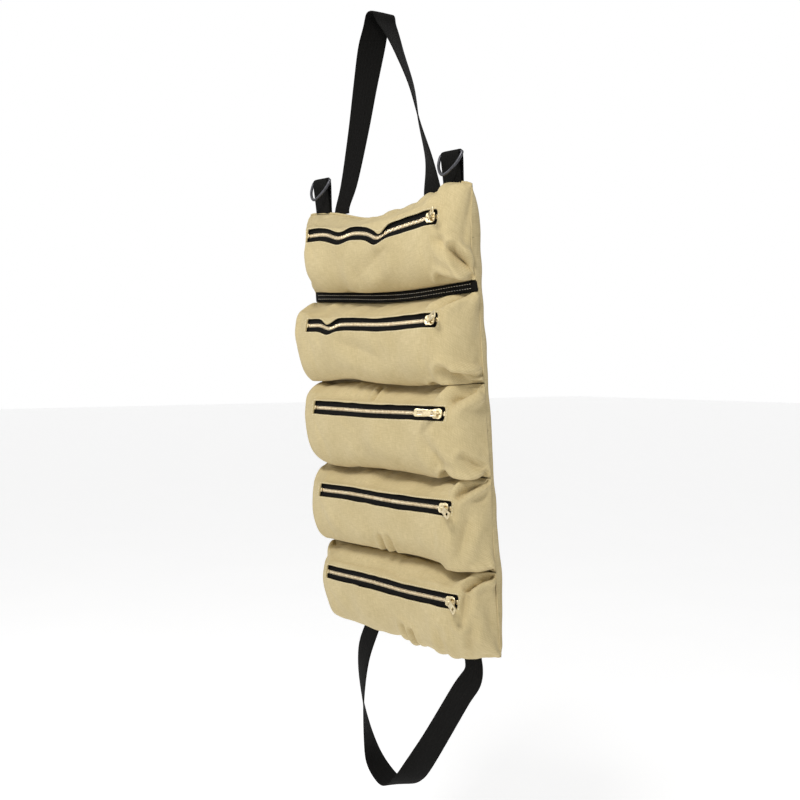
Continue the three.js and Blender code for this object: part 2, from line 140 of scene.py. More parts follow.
# Folds of each pocket: (from edge, down, from edge, down, depth, width). "from edge" is along the cloth from
# the right side seam in millimetres, and "down" goes from 0 at the top seam to 1 at the bottom seam.
FOLDS = [
    [(26, 0.62, 2, 0.93, 3.5, 7), (52, 0.84, 6, 0.97, 2.5, 7), (44, 0.55, 12, 0.78, 1.6, 9),
     (150, 0.5, 215, 0.7, 0.9, 18), (60, 0.02, 40, 0.4, 0.8, 10)],
    [(58, 0.27, 12, 0.04, 2.5, 8), (56, 0.72, 3, 0.97, 3.2, 8), (36, 0.78, 2, 0.9, 2.4, 6),
     (75, 0.86, 10, 0.99, 2.2, 8), (180, 0.6, 260, 0.5, 0.8, 20)],
    [(55, 0.32, 4, 0.05, 3.4, 9), (64, 0.84, 3, 0.97, 3.8, 8), (34, 0.7, 3, 0.92, 1.8, 8),
     (190, 0.1, 200, 0.24, 1.6, 6), (90, 0.6, 60, 0.8, 1.2, 14)],
    [(44, 0.27, 4, 0.04, 3.8, 5), (60, 0.86, 3, 0.98, 2.6, 8), (205, 0.68, 190, 0.96, 1.8, 7),
     (185, 0.66, 172, 0.92, 1.4, 6), (30, 0.4, 46, 0.7, 1.4, 12)],
    [(40, 0.25, 3, 0.04, 3.8, 6), (40, 0.26, 48, 0.52, 2.0, 10), (34, 0.5, 42, 0.85, 1.1, 9),
     (152, 0.72, 140, 0.98, 2.2, 6), (170, 0.7, 158, 0.95, 1.6, 7), (90, 0.6, 84, 0.9, 1.0, 10)],
]

# The webbing that the roll hangs by: height, middle in X and Y, turn of its width from X to Y, fall of its
# right edge. These rows and CLOSING_ROUTE are the route that the CAD gives the same webbing.
LEFT_LEG = [[-7, -98, -1.2, 0, 0], [1.6, -96, -1.2, 0, 0], [32, -80, 1.5, 5, -3], [95, -56, 5, 16, -5],
            [150, -38, 8, 28, -7], [195, -22, 10.5, 52, -6], [220, -11, 12, 74, -2]]
RIGHT_LEG = [[-6, 101, -1.2, 0, 0], [1.6, 100, -1.2, 0, 0], [41, 93, 2, -24, 0], [88, 75, 5, -37, 0],
             [135, 61, 7, -49, 0], [180, 38, 9, -59, 0], [205, 23, 11, -70, 0], [222, 11, 12, -82, 0]]
LOOP_RISE, LOOP_SETBACK, APEX_HALF_LENGTH = 234, 12, 6
FOOT_DEPTH = 8.6  # how far the closing webbing reaches into the hem
FOOT_SQUARING = 8  # its width is square to the route from an eighth of the way through its rows
# Middle of the closing webbing in X, Y and height above the hem, and the turn of its width from X to Y.
CLOSING_ROUTE = [[120, SEAM_PLANE, -1.6, 0], [120, -1.4, -34, 0], [92, -3, -68, 4], [18, -7, -160, 14],
                 [-33, -5, -210, 40], [-78, 2, -230, 66], [-115, 3, -212, 95], [-130, 2, -175, 125],
                 [-134, 0, -115, 152], [-122, -1, -55, 172], [-90, SEAM_PLANE, -1.6, 180]]

# ---- camera and light -----------------------------------------------------------------------------------
IMAGE = 800
CAMERA_AZIMUTH, CAMERA_ELEVATION, CAMERA_DISTANCE = 53.62, 2.66, 1.608
CAMERA_TARGET_Z = -280
FOCAL_PIXELS = 1240
FRAME_SHIFT = 19.7 / IMAGE
AMBIENT = 0.3  # how much of the white surroundings lights the cloth; the rest of its light is directional


def make_camera():
    target = Vector(to_row([0, 0, CAMERA_TARGET_Z]))
    azimuth, elevation = math.radians(CAMERA_AZIMUTH), math.radians(CAMERA_ELEVATION)
    back = Vector((math.sin(azimuth) * math.cos(elevation), -math.cos(azimuth) * math.cos(elevation),
                   math.sin(elevation)))
    data = bpy.data.cameras.new("camera")
    data.sensor_width = 36
    data.lens = FOCAL_PIXELS / IMAGE * data.sensor_width
    data.shift_y = FRAME_SHIFT
    camera = bpy.data.objects.new("camera", data)
    camera.location = target + back * CAMERA_DISTANCE
    camera.rotation_euler = back.to_track_quat("Z", "Y").to_euler()
    bpy.context.scene.collection.objects.link(camera)
    bpy.context.scene.camera = camera


def area_light(name, place, target, size, power, colour=(1, 1, 1)):
    data = bpy.data.lights.new(name, "AREA")
    data.size = size
    data.energy = power
    data.color = colour
    light = bpy.data.objects.new(name, data)
    light.location = place
    light.rotation_euler = (Vector(place) - Vector(target)).to_track_quat("Z", "Y").to_euler()
    bpy.context.scene.collection.objects.link(light)


def make_studio():
    scene = bpy.context.scene
    scene.view_settings.view_transform = "Standard"
    world = bpy.data.worlds.new("studio")
    world.use_nodes = True
    background = world.node_tree.nodes["Background"]
    background.inputs["Color"].default_value = (1, 1, 1, 1)
    rays = world.node_tree.nodes.new("ShaderNodeLightPath")
    strength = world.node_tree.nodes.new("ShaderNodeMapRange")
    strength.inputs["To Min"].default_value = 1.0
    strength.inputs["To Max"].default_value = AMBIENT
    world.node_tree.links.new(rays.outputs["Is Diffuse Ray"], strength.inputs["Value"])
    world.node_tree.links.new(strength.outputs["Result"], background.inputs["Strength"])
    scene.world = world
    middle = (0, 0, -0.45)
    area_light("key", (0.75, -1.15, 0.95), middle, size=0.45, power=26, colour=(1, 0.99, 0.97))
    area_light("fill", (-1.2, -2.0, 0.6), middle, size=1.2, power=10)
    bpy.ops.mesh.primitive_plane_add(size=40, location=(0, 0, -1.25))
    floor = bpy.context.object
    floor.name = "floor"
    floor.data.materials.append(plain_material("floor_paint", (0.9, 0.9, 0.9), 0.9, glow=0.6))


# ---- materials ------------------------------------------------------------------------------------------
class Nodes:
    """A material's node tree, with short calls for the nodes that the cloth and metal patterns share."""

    def __init__(self, name):
        self.material = bpy.data.materials.new(name)
        self.material.use_nodes = True
        self.tree = self.material.node_tree
        self.shader = self.tree.nodes["Principled BSDF"]

    def add(self, kind, **settings):
        node = self.tree.nodes.new(kind)
        for key, value in settings.items():
            setattr(node, key, value)
        return node

    def link(self, output, socket):
        self.tree.links.new(output, socket)

    def math(self, operation, a, b=None, c=None):
        node = self.add("ShaderNodeMath", operation=operation)
        for socket, value in zip(node.inputs, (a, b, c)):
            if value is None:
                continue
            if isinstance(value, (int, float)):
                socket.default_value = value
            else:
                self.link(value, socket)
        return node.outputs[0]

    def cloth_axes(self):
        """How far along and across the cloth a point is, in millimetres."""
        uv = self.add("ShaderNodeUVMap", uv_map="cloth")
        split = self.add("ShaderNodeSeparateXYZ")
        self.link(uv.outputs["UV"], split.inputs[0])
        return split.outputs["X"], split.outputs["Y"], uv.outputs["UV"]

    def noise(self, vector, scale, stretch=(1, 1, 1), detail=3.0):
        mapping = self.add("ShaderNodeMapping")
        mapping.inputs["Scale"].default_value = stretch
        self.link(vector, mapping.inputs["Vector"])
        texture = self.add("ShaderNodeTexNoise")
        texture.inputs["Scale"].default_value = scale
        texture.inputs["Detail"].default_value = detail
        self.link(mapping.outputs["Vector"], texture.inputs["Vector"])
        return texture.outputs["Fac"]

    def ramp(self, factor, low, high, start=0.3, end=0.7):
        node = self.add("ShaderNodeValToRGB")
        node.color_ramp.elements[0].color = (*low, 1)
        node.color_ramp.elements[1].color = (*high, 1)
        node.color_ramp.elements[0].position = start
        node.color_ramp.elements[1].position = end
        self.link(factor, node.inputs["Fac"])
        return node.outputs["Color"]

    def multiply_colours(self, a, b, amount=1.0):
        node = self.add("ShaderNodeMix", data_type="RGBA", blend_type="MULTIPLY")
        node.inputs["Factor"].default_value = amount
        self.link(a, node.inputs["A"])
        self.link(b, node.inputs["B"])
        return node.outputs["Result"]

    def bump(self, height, strength, distance):
        node = self.add("ShaderNodeBump")
        node.inputs["Strength"].default_value = strength
        node.inputs["Distance"].default_value = distance
        self.link(height, node.inputs["Height"])
        self.link(node.outputs["Normal"], self.shader.inputs["Normal"])


def plain_material(name, colour, roughness, glow):
    nodes = Nodes(name)
    position = nodes.add("ShaderNodeTexCoord").outputs["Object"]
    shade = nodes.ramp(nodes.noise(position, 3), [c * 0.97 for c in colour], colour)
    nodes.link(shade, nodes.shader.inputs["Base Color"])
    nodes.shader.inputs["Roughness"].default_value = roughness
    nodes.shader.inputs["Emission Color"].default_value = (1, 1, 1, 1)
    nodes.shader.inputs["Emission Strength"].default_value = glow
    return nodes.material


def canvas_material():
    """Plain-weave cotton: crossing threads, slubs along both of them, and faded cloudy patches."""
    nodes = Nodes("canvas")
    along, across, cloth = nodes.cloth_axes()
    thread = 0.95
    waves = [nodes.math("SINE", nodes.math("MULTIPLY", axis, math.pi / thread)) for axis in (along, across)]
    weave = nodes.math("MULTIPLY", *waves)
    warp = nodes.noise(cloth, 1.0, (0.09, 0.9, 1))
    weft = nodes.noise(cloth, 1.0, (0.9, 0.09, 1))
    clouds = nodes.noise(cloth, 0.02, detail=4)
    base = nodes.ramp(clouds, (0.57, 0.465, 0.25), (0.655, 0.545, 0.315), 0.25, 0.75)
    woven = nodes.math("ADD", nodes.math("MULTIPLY", warp, 0.5), nodes.math("MULTIPLY", weft, 0.5))
    threads = nodes.ramp(woven,
                         (0.86, 0.85, 0.82), (1.0, 1.0, 1.0), 0.4, 0.6)
    holes = nodes.ramp(weave, (0.90, 0.89, 0.86), (1, 1, 1), 0.0, 0.35)
    colour = nodes.multiply_colours(nodes.multiply_colours(base, threads), holes)
    nodes.link(colour, nodes.shader.inputs["Base Color"])
    height = nodes.math("ADD", nodes.math("MULTIPLY", weave, 0.35),
                        nodes.math("ADD", nodes.math("MULTIPLY", warp, 0.8),
                                   nodes.math("MULTIPLY", weft, 0.8)))
    nodes.bump(height, 0.55, 0.25 * MM)
    nodes.shader.inputs["Roughness"].default_value = 0.92
    nodes.shader.inputs["Specular IOR Level"].default_value = 0.2
    nodes.shader.inputs["Sheen Weight"].default_value = 0.08
    nodes.shader.inputs["Sheen Roughness"].default_value = 0.6
    return nodes.material


def webbing_material(name, colour, rib, chevron):
    """Black woven tape: ribs in a herringbone across its width, with a little lint."""
    nodes = Nodes(name)
    along, across, cloth = nodes.cloth_axes()
    zigzag = nodes.math("PINGPONG", across, chevron)
    diagonal = nodes.math("ADD", along, nodes.math("MULTIPLY", zigzag, 0.7))
    ribs = nodes.math("SINE", nodes.math("MULTIPLY", diagonal, 2 * math.pi / rib))
    cords = nodes.math("SINE", nodes.math("MULTIPLY", across, 2 * math.pi / chevron))
    lint = nodes.noise(cloth, 0.8, (0.3, 1, 1))
    dark = [c * 0.55 for c in colour]
    light = [c * 1.7 for c in colour]
    shade = nodes.ramp(nodes.math("ADD", nodes.math("MULTIPLY", ribs, 0.25), lint), dark, light, 0.2, 0.85)
    nodes.link(shade, nodes.shader.inputs["Base Color"])
    height = nodes.math("ADD", ribs, nodes.math("MULTIPLY", cords, 0.6))
    nodes.bump(height, 0.6, 0.3 * MM)
    nodes.shader.inputs["Roughness"].default_value = 0.85
    nodes.shader.inputs["Specular IOR Level"].default_value = 0.1
    return nodes.material


def metal_material(name, dark, light, roughness, grain):
    nodes = Nodes(name)
    position = nodes.add("ShaderNodeTexCoord").outputs["Object"]
    cloudy = nodes.noise(position, 220)
    nodes.link(nodes.ramp(cloudy, dark, light), nodes.shader.inputs["Base Color"])
    nodes.shader.inputs["Metallic"].default_value = 1.0
    scratches = nodes.noise(position, 900, (1, 1, 6))
    nodes.link(nodes.math("MULTIPLY_ADD", scratches, grain, roughness), nodes.shader.inputs["Roughness"])
    nodes.bump(scratches, 0.1, 0.05 * MM)
    return nodes.material


def thread_material(name, colour):
    nodes = Nodes(name)
    position = nodes.add("ShaderNodeTexCoord").outputs["Object"]
    twist = nodes.noise(position, 1500, (1, 1, 1))
    nodes.link(nodes.ramp(twist, [c * 0.8 for c in colour], colour), nodes.shader.inputs["Base Color"])
    nodes.bump(twist, 0.3, 0.1 * MM)
    nodes.shader.inputs["Roughness"].default_value = 0.75
    return nodes.material


# ---- mesh and curve helpers -----------------------------------------------------------------------------
def waves(bumps, x):
    """How far a line is raised at x by the bumps along it: each is its place, height and reach."""
    x = np.asarray(x, float)
    return sum((height * np.exp(-((x - place) / reach) ** 2) for place, height, reach in bumps), 0 * x)


def smoothstep(value, start=0.0, end=1.0):
    t = np.clip((value - start) / (end - start), 0, 1)
    return t * t * (3 - 2 * t)


def ripple(seed, u, v, size):
    """A smooth random surface over u and v, about -1 to 1, with features about that size."""
    rng = np.random.default_rng(int(abs(seed)))
    total = np.zeros(np.broadcast(u, v).shape)
    waves = 22
    for _ in range(waves):
        angle, phase = rng.uniform(0, 2 * math.pi, 2)
        length = size * rng.uniform(0.7, 1.8)
        total += np.cos((u * math.cos(angle) + v * math.sin(angle)) * 2 * math.pi / length + phase)
    return total / math.sqrt(waves)


def new_object(name, points, faces, uvs=None, material=None, smooth=True):
    mesh = bpy.data.meshes.new(name)
    mesh.from_pydata([tuple(p) for p in points], [], faces)
    if uvs is not None:
        layer = mesh.uv_layers.new(name="cloth")
        corners = np.zeros(len(mesh.loops), np.int32)
        mesh.loops.foreach_get("vertex_index", corners)
        layer.data.foreach_set("uv", np.asarray(uvs, np.float32)[corners].ravel())
    mesh.polygons.foreach_set("use_smooth", [smooth] * len(mesh.polygons))
    mesh.update()
    piece = bpy.data.objects.new(name, mesh)
    bpy.context.scene.collection.objects.link(piece)
    if material:
        mesh.materials.append(material)
    return piece


def grid_faces(columns, rows, keep=None, closed_rows=False):
    faces = []
    for i in range(columns - 1):
        for j in range(rows if closed_rows else rows - 1):
            if keep is None or keep(i, j):
                k = (j + 1) % rows
                faces.append((i * rows + j, i * rows + k, (i + 1) * rows + k, (i + 1) * rows + j))
    return faces


def grid_normals(points):
    """Normals of a grid of points, towards -Y where it faces the front."""
    along = np.gradient(points, axis=0)
    down = np.gradient(points, axis=1)
    normals = np.cross(along, down)
    length = np.maximum(np.linalg.norm(normals, axis=2, keepdims=True), 1e-9)
    return normals / length


def thicken(piece, thickness, rim=True):
    solid = piece.modifiers.new("thickness", "SOLIDIFY")
    solid.thickness = thickness * MM
    solid.offset = -1
    solid.use_rim = rim
    smooth = piece.modifiers.new("smooth", "SUBSURF")
    smooth.levels = 1
    smooth.render_levels = 1


def lengths(points):
    """How far along a line each of its points is."""
    steps = np.linalg.norm(np.diff(points, axis=0), axis=1)
    return np.concatenate([[0], np.cumsum(steps)])


def spaced(points, step):
    """The line again, with points about step apart."""
    along = lengths(points)
    places = np.linspace(0, along[-1], max(2, int(round(along[-1] / step)) + 1))
    return np.stack([np.interp(places, along, points[:, axis]) for axis in range(points.shape[1])], axis=1)


def catmull(points, steps):
    """A smooth line through points, as a uniform Catmull-Rom spline."""
    points = np.asarray(points, float)
    padded = np.vstack([2 * points[0] - points[1], points, 2 * points[-1] - points[-2]])
    line = []
    for i in range(len(points) - 1):
        p0, p1, p2, p3 = padded[i:i + 4]
        for t in np.arange(steps) / steps:
            line.append(0.5 * (2 * p1 + (p2 - p0) * t + (2 * p0 - 5 * p1 + 4 * p2 - p3) * t**2
                               + (3 * p1 - p0 - 3 * p2 + p3) * t**3))
    line.append(points[-1])
    return np.array(line)


def rounded_line(points, reach):
    """The line with its bends rounded over about that many points, and its ends kept."""
    kernel = np.hanning(reach * 2 + 1)
    kernel /= kernel.sum()
    padded = np.vstack([np.repeat(points[:1], reach, 0), points, np.repeat(points[-1:], reach, 0)])
    smooth = np.stack([np.convolve(padded[:, k], kernel, "valid") for k in range(points.shape[1])], axis=1)
    ends = np.minimum(np.arange(len(points)), np.arange(len(points))[::-1]) / reach
    weight = smoothstep(ends)[:, None]
    return points + (smooth - points) * weight


def ribbon(name, left, right, thickness, material, seed=0):
    """Webbing between two edge lines, with rounded selvedges and a faint unevenness."""
    left, right = np.asarray(left, float), np.asarray(right, float)
    across = right - left
    width = np.linalg.norm(across, axis=1).mean()
    tangent = np.gradient(left + right, axis=0)
    normal = np.cross(across, tangent)
    normal /= np.maximum(np.linalg.norm(normal, axis=1, keepdims=True), 1e-9)
    middle = (left + right) / 2
    along = lengths(middle)
    steps = 10
    angles = [math.pi * (1 - i / steps) for i in range(steps + 1)]
    half = thickness / 2
    profile = [(math.copysign(abs(math.cos(a)) ** 0.45, math.cos(a)), abs(math.sin(a)) ** 0.3 * half)
               for a in angles]
    profile += [(side, -height) for side, height in profile[-2:0:-1]]
    rows = len(profile)
    points, uvs = [], []
    for i in range(len(middle)):
        for side, height in profile:
            uneven = 0.25 * math.sin(along[i] / 23 + side * 2 + seed) * (1 - side * side)
            points.append(middle[i] + across[i] / 2 * side + normal[i] * (height + uneven))
            uvs.append((along[i], (side + 1) * width / 2 + (height < 0) * width))
    faces = grid_faces(len(middle), rows, closed_rows=True)
    faces.append(tuple(range(rows)))
    faces.append(tuple(range((len(middle) - 1) * rows, len(middle) * rows))[::-1])
    piece = new_object(name, to_row(points), faces, uvs, material)
    recalculate(piece)
    return piece


def recalculate(piece):
    mesh = bmesh.new()
    mesh.from_mesh(piece.data)
    bmesh.ops.recalc_face_normals(mesh, faces=mesh.faces)
    mesh.to_mesh(piece.data)
    mesh.free()


def tube(name, line, radius, material, sides=10, closed=False, squash=1.0, up=(0, 1, 0)):
    """A round bar along a line, given in the row frame and in metres."""
    line = np.asarray(line, float)
    if closed:
        tangent = np.roll(line, -1, axis=0) - np.roll(line, 1, axis=0)
    else:
        tangent = np.gradient(line, axis=0)
    tangent /= np.maximum(np.linalg.norm(tangent, axis=1, keepdims=True), 1e-12)
    side = np.cross(tangent, np.array(up, float))
    side /= np.maximum(np.linalg.norm(side, axis=1, keepdims=True), 1e-12)
    other = np.cross(side, tangent)
    radii = np.broadcast_to(np.asarray(radius, float), (len(line),))
    points, uvs = [], []
    along = lengths(line) / MM
    for i in range(len(line)):
        for k in range(sides):
            angle = 2 * math.pi * k / sides
            offset = side[i] * math.cos(angle) * squash + other[i] * math.sin(angle)
            points.append(line[i] + offset * radii[i])
            uvs.append((along[i], radii[i] / MM * angle))
    columns = len(line)
    faces = grid_faces(columns, sides, closed_rows=True)
    if closed:
        last = (columns - 1) * sides
        faces += [(last + k, last + (k + 1) % sides, (k + 1) % sides, k) for k in range(sides)]
    else:
        faces.append(tuple(range(sides)))
        faces.append(tuple(range((columns - 1) * sides, columns * sides))[::-1])
    piece = new_object(name, points, faces, uvs, material)
    recalculate(piece)
    return piece


def repeated(name, template_points, template_faces, places, material):
    """Copies of one small shape in one mesh. A place is a 3x4 matrix that sets a copy in the roll's frame."""
    template = np.hstack([np.asarray(template_points, float), np.ones((len(template_points), 1))])
    points = np.concatenate([template @ np.asarray(place).T for place in places])
    count = len(template_points)
    faces = [tuple(v + n * count for v in face) for n in range(len(places)) for face in template_faces]
    uvs = points[:, [0, 2]]
    return new_object(name, to_row(points), faces, uvs, material)


def capsule(length, radius, sides=6):
    """A stitch: a short thread along X that dips at both ends."""
    rings = [(-0.5, 0.25, -0.9), (-0.36, 0.8, -0.2), (0, 1.0, 0.1), (0.36, 0.8, -0.2), (0.5, 0.25, -0.9)]
    points = []
    for along, scale, lift in rings:
        for k in range(sides):
            angle = 2 * math.pi * k / sides
            points.append((along * length, -lift * radius + radius * scale * math.cos(angle),
                           radius * scale * math.sin(angle)))
    faces = grid_faces(len(rings), sides, closed_rows=True)
    faces.append(tuple(range(sides)))
    faces.append(tuple(range((len(rings) - 1) * sides, len(rings) * sides))[::-1])
    return points, faces


def stitches(name, lines, stitch, space, radius, material):
    """Rows of stitches along lines of (point, outward) pairs, in the roll's frame."""
    places = []
    for points, outward in lines:
        both = spaced(np.hstack([points, outward]), (stitch + space) / 2)
        for i in range(1, len(both) - 1, 2):
            along = both[i + 1, :3] - both[i - 1, :3]
            along /= max(np.linalg.norm(along), 1e-9)
            out = both[i, 3:] / max(np.linalg.norm(both[i, 3:]), 1e-9)
            side = np.cross(along, out)
            side /= max(np.linalg.norm(side), 1e-9)
            out = np.cross(side, along)
            places.append(np.column_stack([along, -out, side, both[i, :3]]))
    points, faces = capsule(stitch, radius)
    return repeated(name, points, faces, places, material)


# ---- the stuffed pockets --------------------------------------------------------------------------------
CLOTH_STEP = 3.2
FOLD_DEPTH = 4.6
CLOTH_FRAMES = 22
CLOTH_CAP = 6.5
pockets = []
for number in range(1, POCKET_COUNT + 1):
    low, high = roll_box(f"pocket_{number}")
    swing = joints[f"zip_{number}_pull_swing"]
    hinge, axis = to_roll(swing["pos_m"]), TILT.T @ np.array(swing["axis"])
    lean = math.atan2(axis[1], axis[2])
    out = np.array([0, -math.cos(lean), math.sin(lean)])
    up = np.array([0, math.sin(lean), math.cos(lean)])
    pockets.append({
        "number": number, "top": SEAM_Z[number - 1],
        "bottom": SEAM_Z[number] if number > 1 else roll_box("cross_band")[1][2] + GAP,
        "depth": -low[1] - CANVAS - GAP, "lean": lean,
        "seat": hinge + HINGE_Y * out - np.array([SLIDER_X, 0, 0]), "out": out, "up": up,
        "hinge": hinge,
    })


def seam_y(z):
    return -1.0 - waves(SEAM_SHIFT, z)


def end_curve(x):
    """0 along the middle of a pocket, rising to 1 at its side seams."""
    left = (-x - (HALF_WIDTH - LEFT_CURVE)) / LEFT_CURVE
    right = (x - (HALF_WIDTH - RIGHT_CURVE)) / RIGHT_CURVE
    return np.clip(np.maximum(left, right), 0, 1)


def end_profile(pocket, x):
    """How full a pocket is along its length: 1 in the middle, 0 in its side seams."""
    into = end_curve(x)
    slack = LEFT_SLACK[pocket["number"] - 1] * smoothstep(-x, SLACK_START, SLACK_FULL)
    return np.sqrt(1 - into**4) * (1 - slack)


def pillow(pocket, x, turn):
    """The stuffed front of a pocket. turn goes from 0 at its top seam to pi at its bottom seam."""
    middle = (pocket["top"] + pocket["bottom"]) / 2
    half = (pocket["top"] - pocket["bottom"]) / 2 - GAP
    into = end_curve(x)
    near_end = smoothstep(x, SLOT_RIGHT - 4, HALF_WIDTH)
    cosine = np.cos(turn)
    high = np.sign(cosine) * np.abs(cosine) ** (PLUMPNESS + 0.5 * near_end)
    forward = np.sin(np.clip(turn, 0, math.pi)) ** PLUMPNESS * end_profile(pocket, x)
    z = middle + high * half
    y = seam_y(z) * into**3 - (CANVAS + GAP) * (1 - into**3) - pocket["depth"] * forward
    return np.stack([x + 0 * turn, y, z], axis=-1), high


def zip_wave(pocket, x):
    """How far a zip is raised along its length; nothing where the slider stops."""
    fade = smoothstep(x, WAVES_LEFT, WAVES_LEFT + WAVES_FADE)
    fade = fade * smoothstep(-x, -WAVES_RIGHT, WAVES_FADE - WAVES_RIGHT)
    return waves(ZIP_WAVES[pocket["number"] - 1], x) * fade


def pocket_grid(pocket):
    """Columns and rows of a pocket's cloth, with the zip's slot between two of its rows and columns."""
    middle = np.linspace(SLOT_LEFT, SLOT_RIGHT, int((SLOT_RIGHT - SLOT_LEFT) / CLOTH_STEP) + 1)
    right = SLOT_RIGHT + (HALF_WIDTH - SLOT_RIGHT) * np.sin(np.linspace(0, math.pi / 2, 16)[1:])
    left = SLOT_LEFT - (HALF_WIDTH + SLOT_LEFT) * np.sin(np.linspace(0, math.pi / 2, 21)[1:])
    x = np.concatenate([left[::-1], middle, right])
    turns = np.linspace(0, math.pi, 400)
    line, high = pillow(pocket, np.zeros(400), turns)
    along = lengths(line)
    seat_z = pocket["seat"][2]
    seat = np.interp(-seat_z, -line[:, 2], along)
    above, below = seat - SLOT_HALF, seat + SLOT_HALF
    upper = np.linspace(0, above, int(round(above / CLOTH_STEP)) + 1)
    lower = np.linspace(below, along[-1], int(round((along[-1] - below) / CLOTH_STEP)) + 1)
    rows = np.interp(np.concatenate([upper, lower]), along, turns)
    left = int(np.argmin(np.abs(x - SLOT_LEFT)))
    right = int(np.argmin(np.abs(x - SLOT_RIGHT)))
    return x, rows, len(upper) - 1, left, right


def top_line(pocket, x):
    number = pocket["number"]
    return waves(TOP_HEM, x) if number == 1 else waves(GROOVES[number - 2], x)


def bottom_line(pocket, x):
    number = pocket["number"]
    return waves(BOTTOM_HEM, x) if number == POCKET_COUNT else waves(GROOVES[number - 1], x)


def shape_cloth(pocket, x, rows, slot_row):
    """The pocket's cloth before it is let settle: pillow, sags, waves, folds and gathers."""
    number = pocket["number"]
    grid_x, turn = np.meshgrid(x, rows, indexing="ij")
    points, high = pillow(pocket, grid_x, turn)
    seams_hold = number > 1
    out_of_seam = smoothstep(-points[..., 1], CANVAS, 16)
    top_weight = smoothstep(high, 0.5, 1.0) * (out_of_seam if number > 2 else 1)
    bottom_weight = smoothstep(-high, 0.3, 1.0) * (out_of_seam if 1 < number < POCKET_COUNT else 1)
    points[..., 2] += top_line(pocket, grid_x) * top_weight
    points[..., 2] += bottom_line(pocket, grid_x) * bottom_weight * (0.8 if seams_hold else 1)
    slot_high = high[len(x) // 2, slot_row:slot_row + 2].mean()
    near_zip = smoothstep(high, -0.35, slot_high - 0.12) * smoothstep(-high, -1, -slot_high - 0.1)
    wave = zip_wave(pocket, grid_x) * near_zip
    points[..., 2] += wave
    points[..., 1] += wave * math.tan(pocket["lean"])

    along = np.stack([lengths(points[:, j]) for j in range(len(rows))], axis=1)
    down = np.stack([lengths(points[i]) for i in range(len(x))], axis=0)
    from_right = along[-1] - along
    normals = grid_normals(points)
    inward = np.zeros_like(down)
    for corner, (a, b) in enumerate(((from_right, down), (from_right, down[:, -1:] - down),
                                     (along, down), (along, down[:, -1:] - down))):
        if number == 1 and corner in (0, 2):
            continue
        radius = np.hypot(a * 0.8, b)
        angle = np.arctan2(b, a * 0.8)
        strength = (2.0, 2.4, 1.6, 1.8)[corner] * radius / 16 * np.exp(1 - radius / 16)
        inward += strength * np.cos(angle * 9 + corner * 1.7 + number * 2.1)
    seed = number * 31
    gather_top = ripple(seed, grid_x, 0 * grid_x, 24) * np.exp(-down / 20) * smoothstep(down, 0, 7)
    up_from = down[:, -1:] - down
    gather_bottom = ripple(seed + 1, grid_x, 0 * grid_x, 30) * np.exp(-up_from / 18)
    gather_bottom = gather_bottom * smoothstep(up_from, 0, 8)
    soft = ripple(seed + 2, grid_x, down, 95) * 2.0 + ripple(seed + 3, grid_x, down, 38) * 0.45
    edges = smoothstep(np.minimum(np.minimum(down, up_from), np.minimum(along, from_right)), 0, 12)
    inward += (gather_top * 2.6 + gather_bottom * 2.1) + soft * edges
    slot_distance = np.abs(down - down[:, slot_row:slot_row + 2].mean(axis=1, keepdims=True)) - SLOT_HALF
    beside_slot = smoothstep(slot_distance, 0, 14) + smoothstep(np.abs(grid_x), SLOT_RIGHT, SLOT_RIGHT + 10)
    free = np.clip(beside_slot, 0, 1)
    points += normals * (inward * (0.25 + 0.75 * free))[..., None]
    return points, down, from_right, along, free


def crease(cloth, points):
    """Presses the pocket's folds into its settled cloth: each a sharp valley with a soft ridge beside it."""
    number, down, from_right = cloth["pocket"]["number"], cloth["down"], cloth["from_right"]
    height = down[down.shape[0] // 2, -1]
    here = np.stack([from_right, down / down[:, -1:] * height], axis=-1)
    inward = np.zeros_like(down)
    for from_edge, part, to_edge, to_part, depth, width in FOLDS[number - 1]:
        start = np.array([from_edge, part * height])
        reach = np.array([to_edge, to_part * height]) - start
        t = np.clip(((here - start) @ reach) / (reach @ reach), 0, 1)
        distance = np.linalg.norm(here - start - t[..., None] * reach, axis=-1) / width
        fade = 0.35 + 0.65 * np.sin(math.pi * (0.15 + 0.7 * t))
        valley = np.exp(-distance * 1.8)
        ridges = 0.55 * np.exp(-((distance - 1.3) / 0.7) ** 2)
        inward += FOLD_DEPTH * depth * fade * (valley - ridges)
    seams = smoothstep(np.minimum(from_right, np.minimum(down, down[:, -1:] - down)), 0, 5)
    return points + grid_normals(points) * (inward * seams * cloth["free"])[..., None]


def settle(pieces):
    """Cloth simulation of the pockets' fronts under the pressure of what fills them."""
    scene = bpy.context.scene
    for piece in pieces:
        cloth = piece.modifiers.new("cloth", "CLOTH")
        settings = cloth.settings
        settings.quality = 6
        settings.mass = 0.2
        settings.tension_stiffness = 25
        settings.compression_stiffness = 12
        settings.shear_stiffness = 8
        settings.bending_stiffness = 0.12
        settings.air_damping = 4
        settings.vertex_group_mass = "pin"
        settings.use_pressure = True
        settings.uniform_pressure_force = 3.0
        settings.shrink_min = 0.0
        settings.shrink_max = -0.07
        settings.vertex_group_shrink = "loose"
        settings.effector_weights.gravity = 0.15
        cloth.collision_settings.use_collision = False
        cloth.point_cache.frame_start = 1
        cloth.point_cache.frame_end = CLOTH_FRAMES
    scene.frame_start, scene.frame_end = 1, CLOTH_FRAMES
    for number in range(1, CLOTH_FRAMES + 1):
        scene.frame_set(number)
    depsgraph = bpy.context.evaluated_depsgraph_get()
    settled = []
    for piece in pieces:
        evaluated = piece.evaluated_get(depsgraph)
        points = np.zeros(len(evaluated.data.vertices) * 3)
        evaluated.data.vertices.foreach_get("co", points)
        settled.append(points.reshape(-1, 3))
    for piece in pieces:
        piece.modifiers.remove(piece.modifiers["cloth"])
        piece.vertex_groups.clear()
    scene.frame_set(1)
    return settled


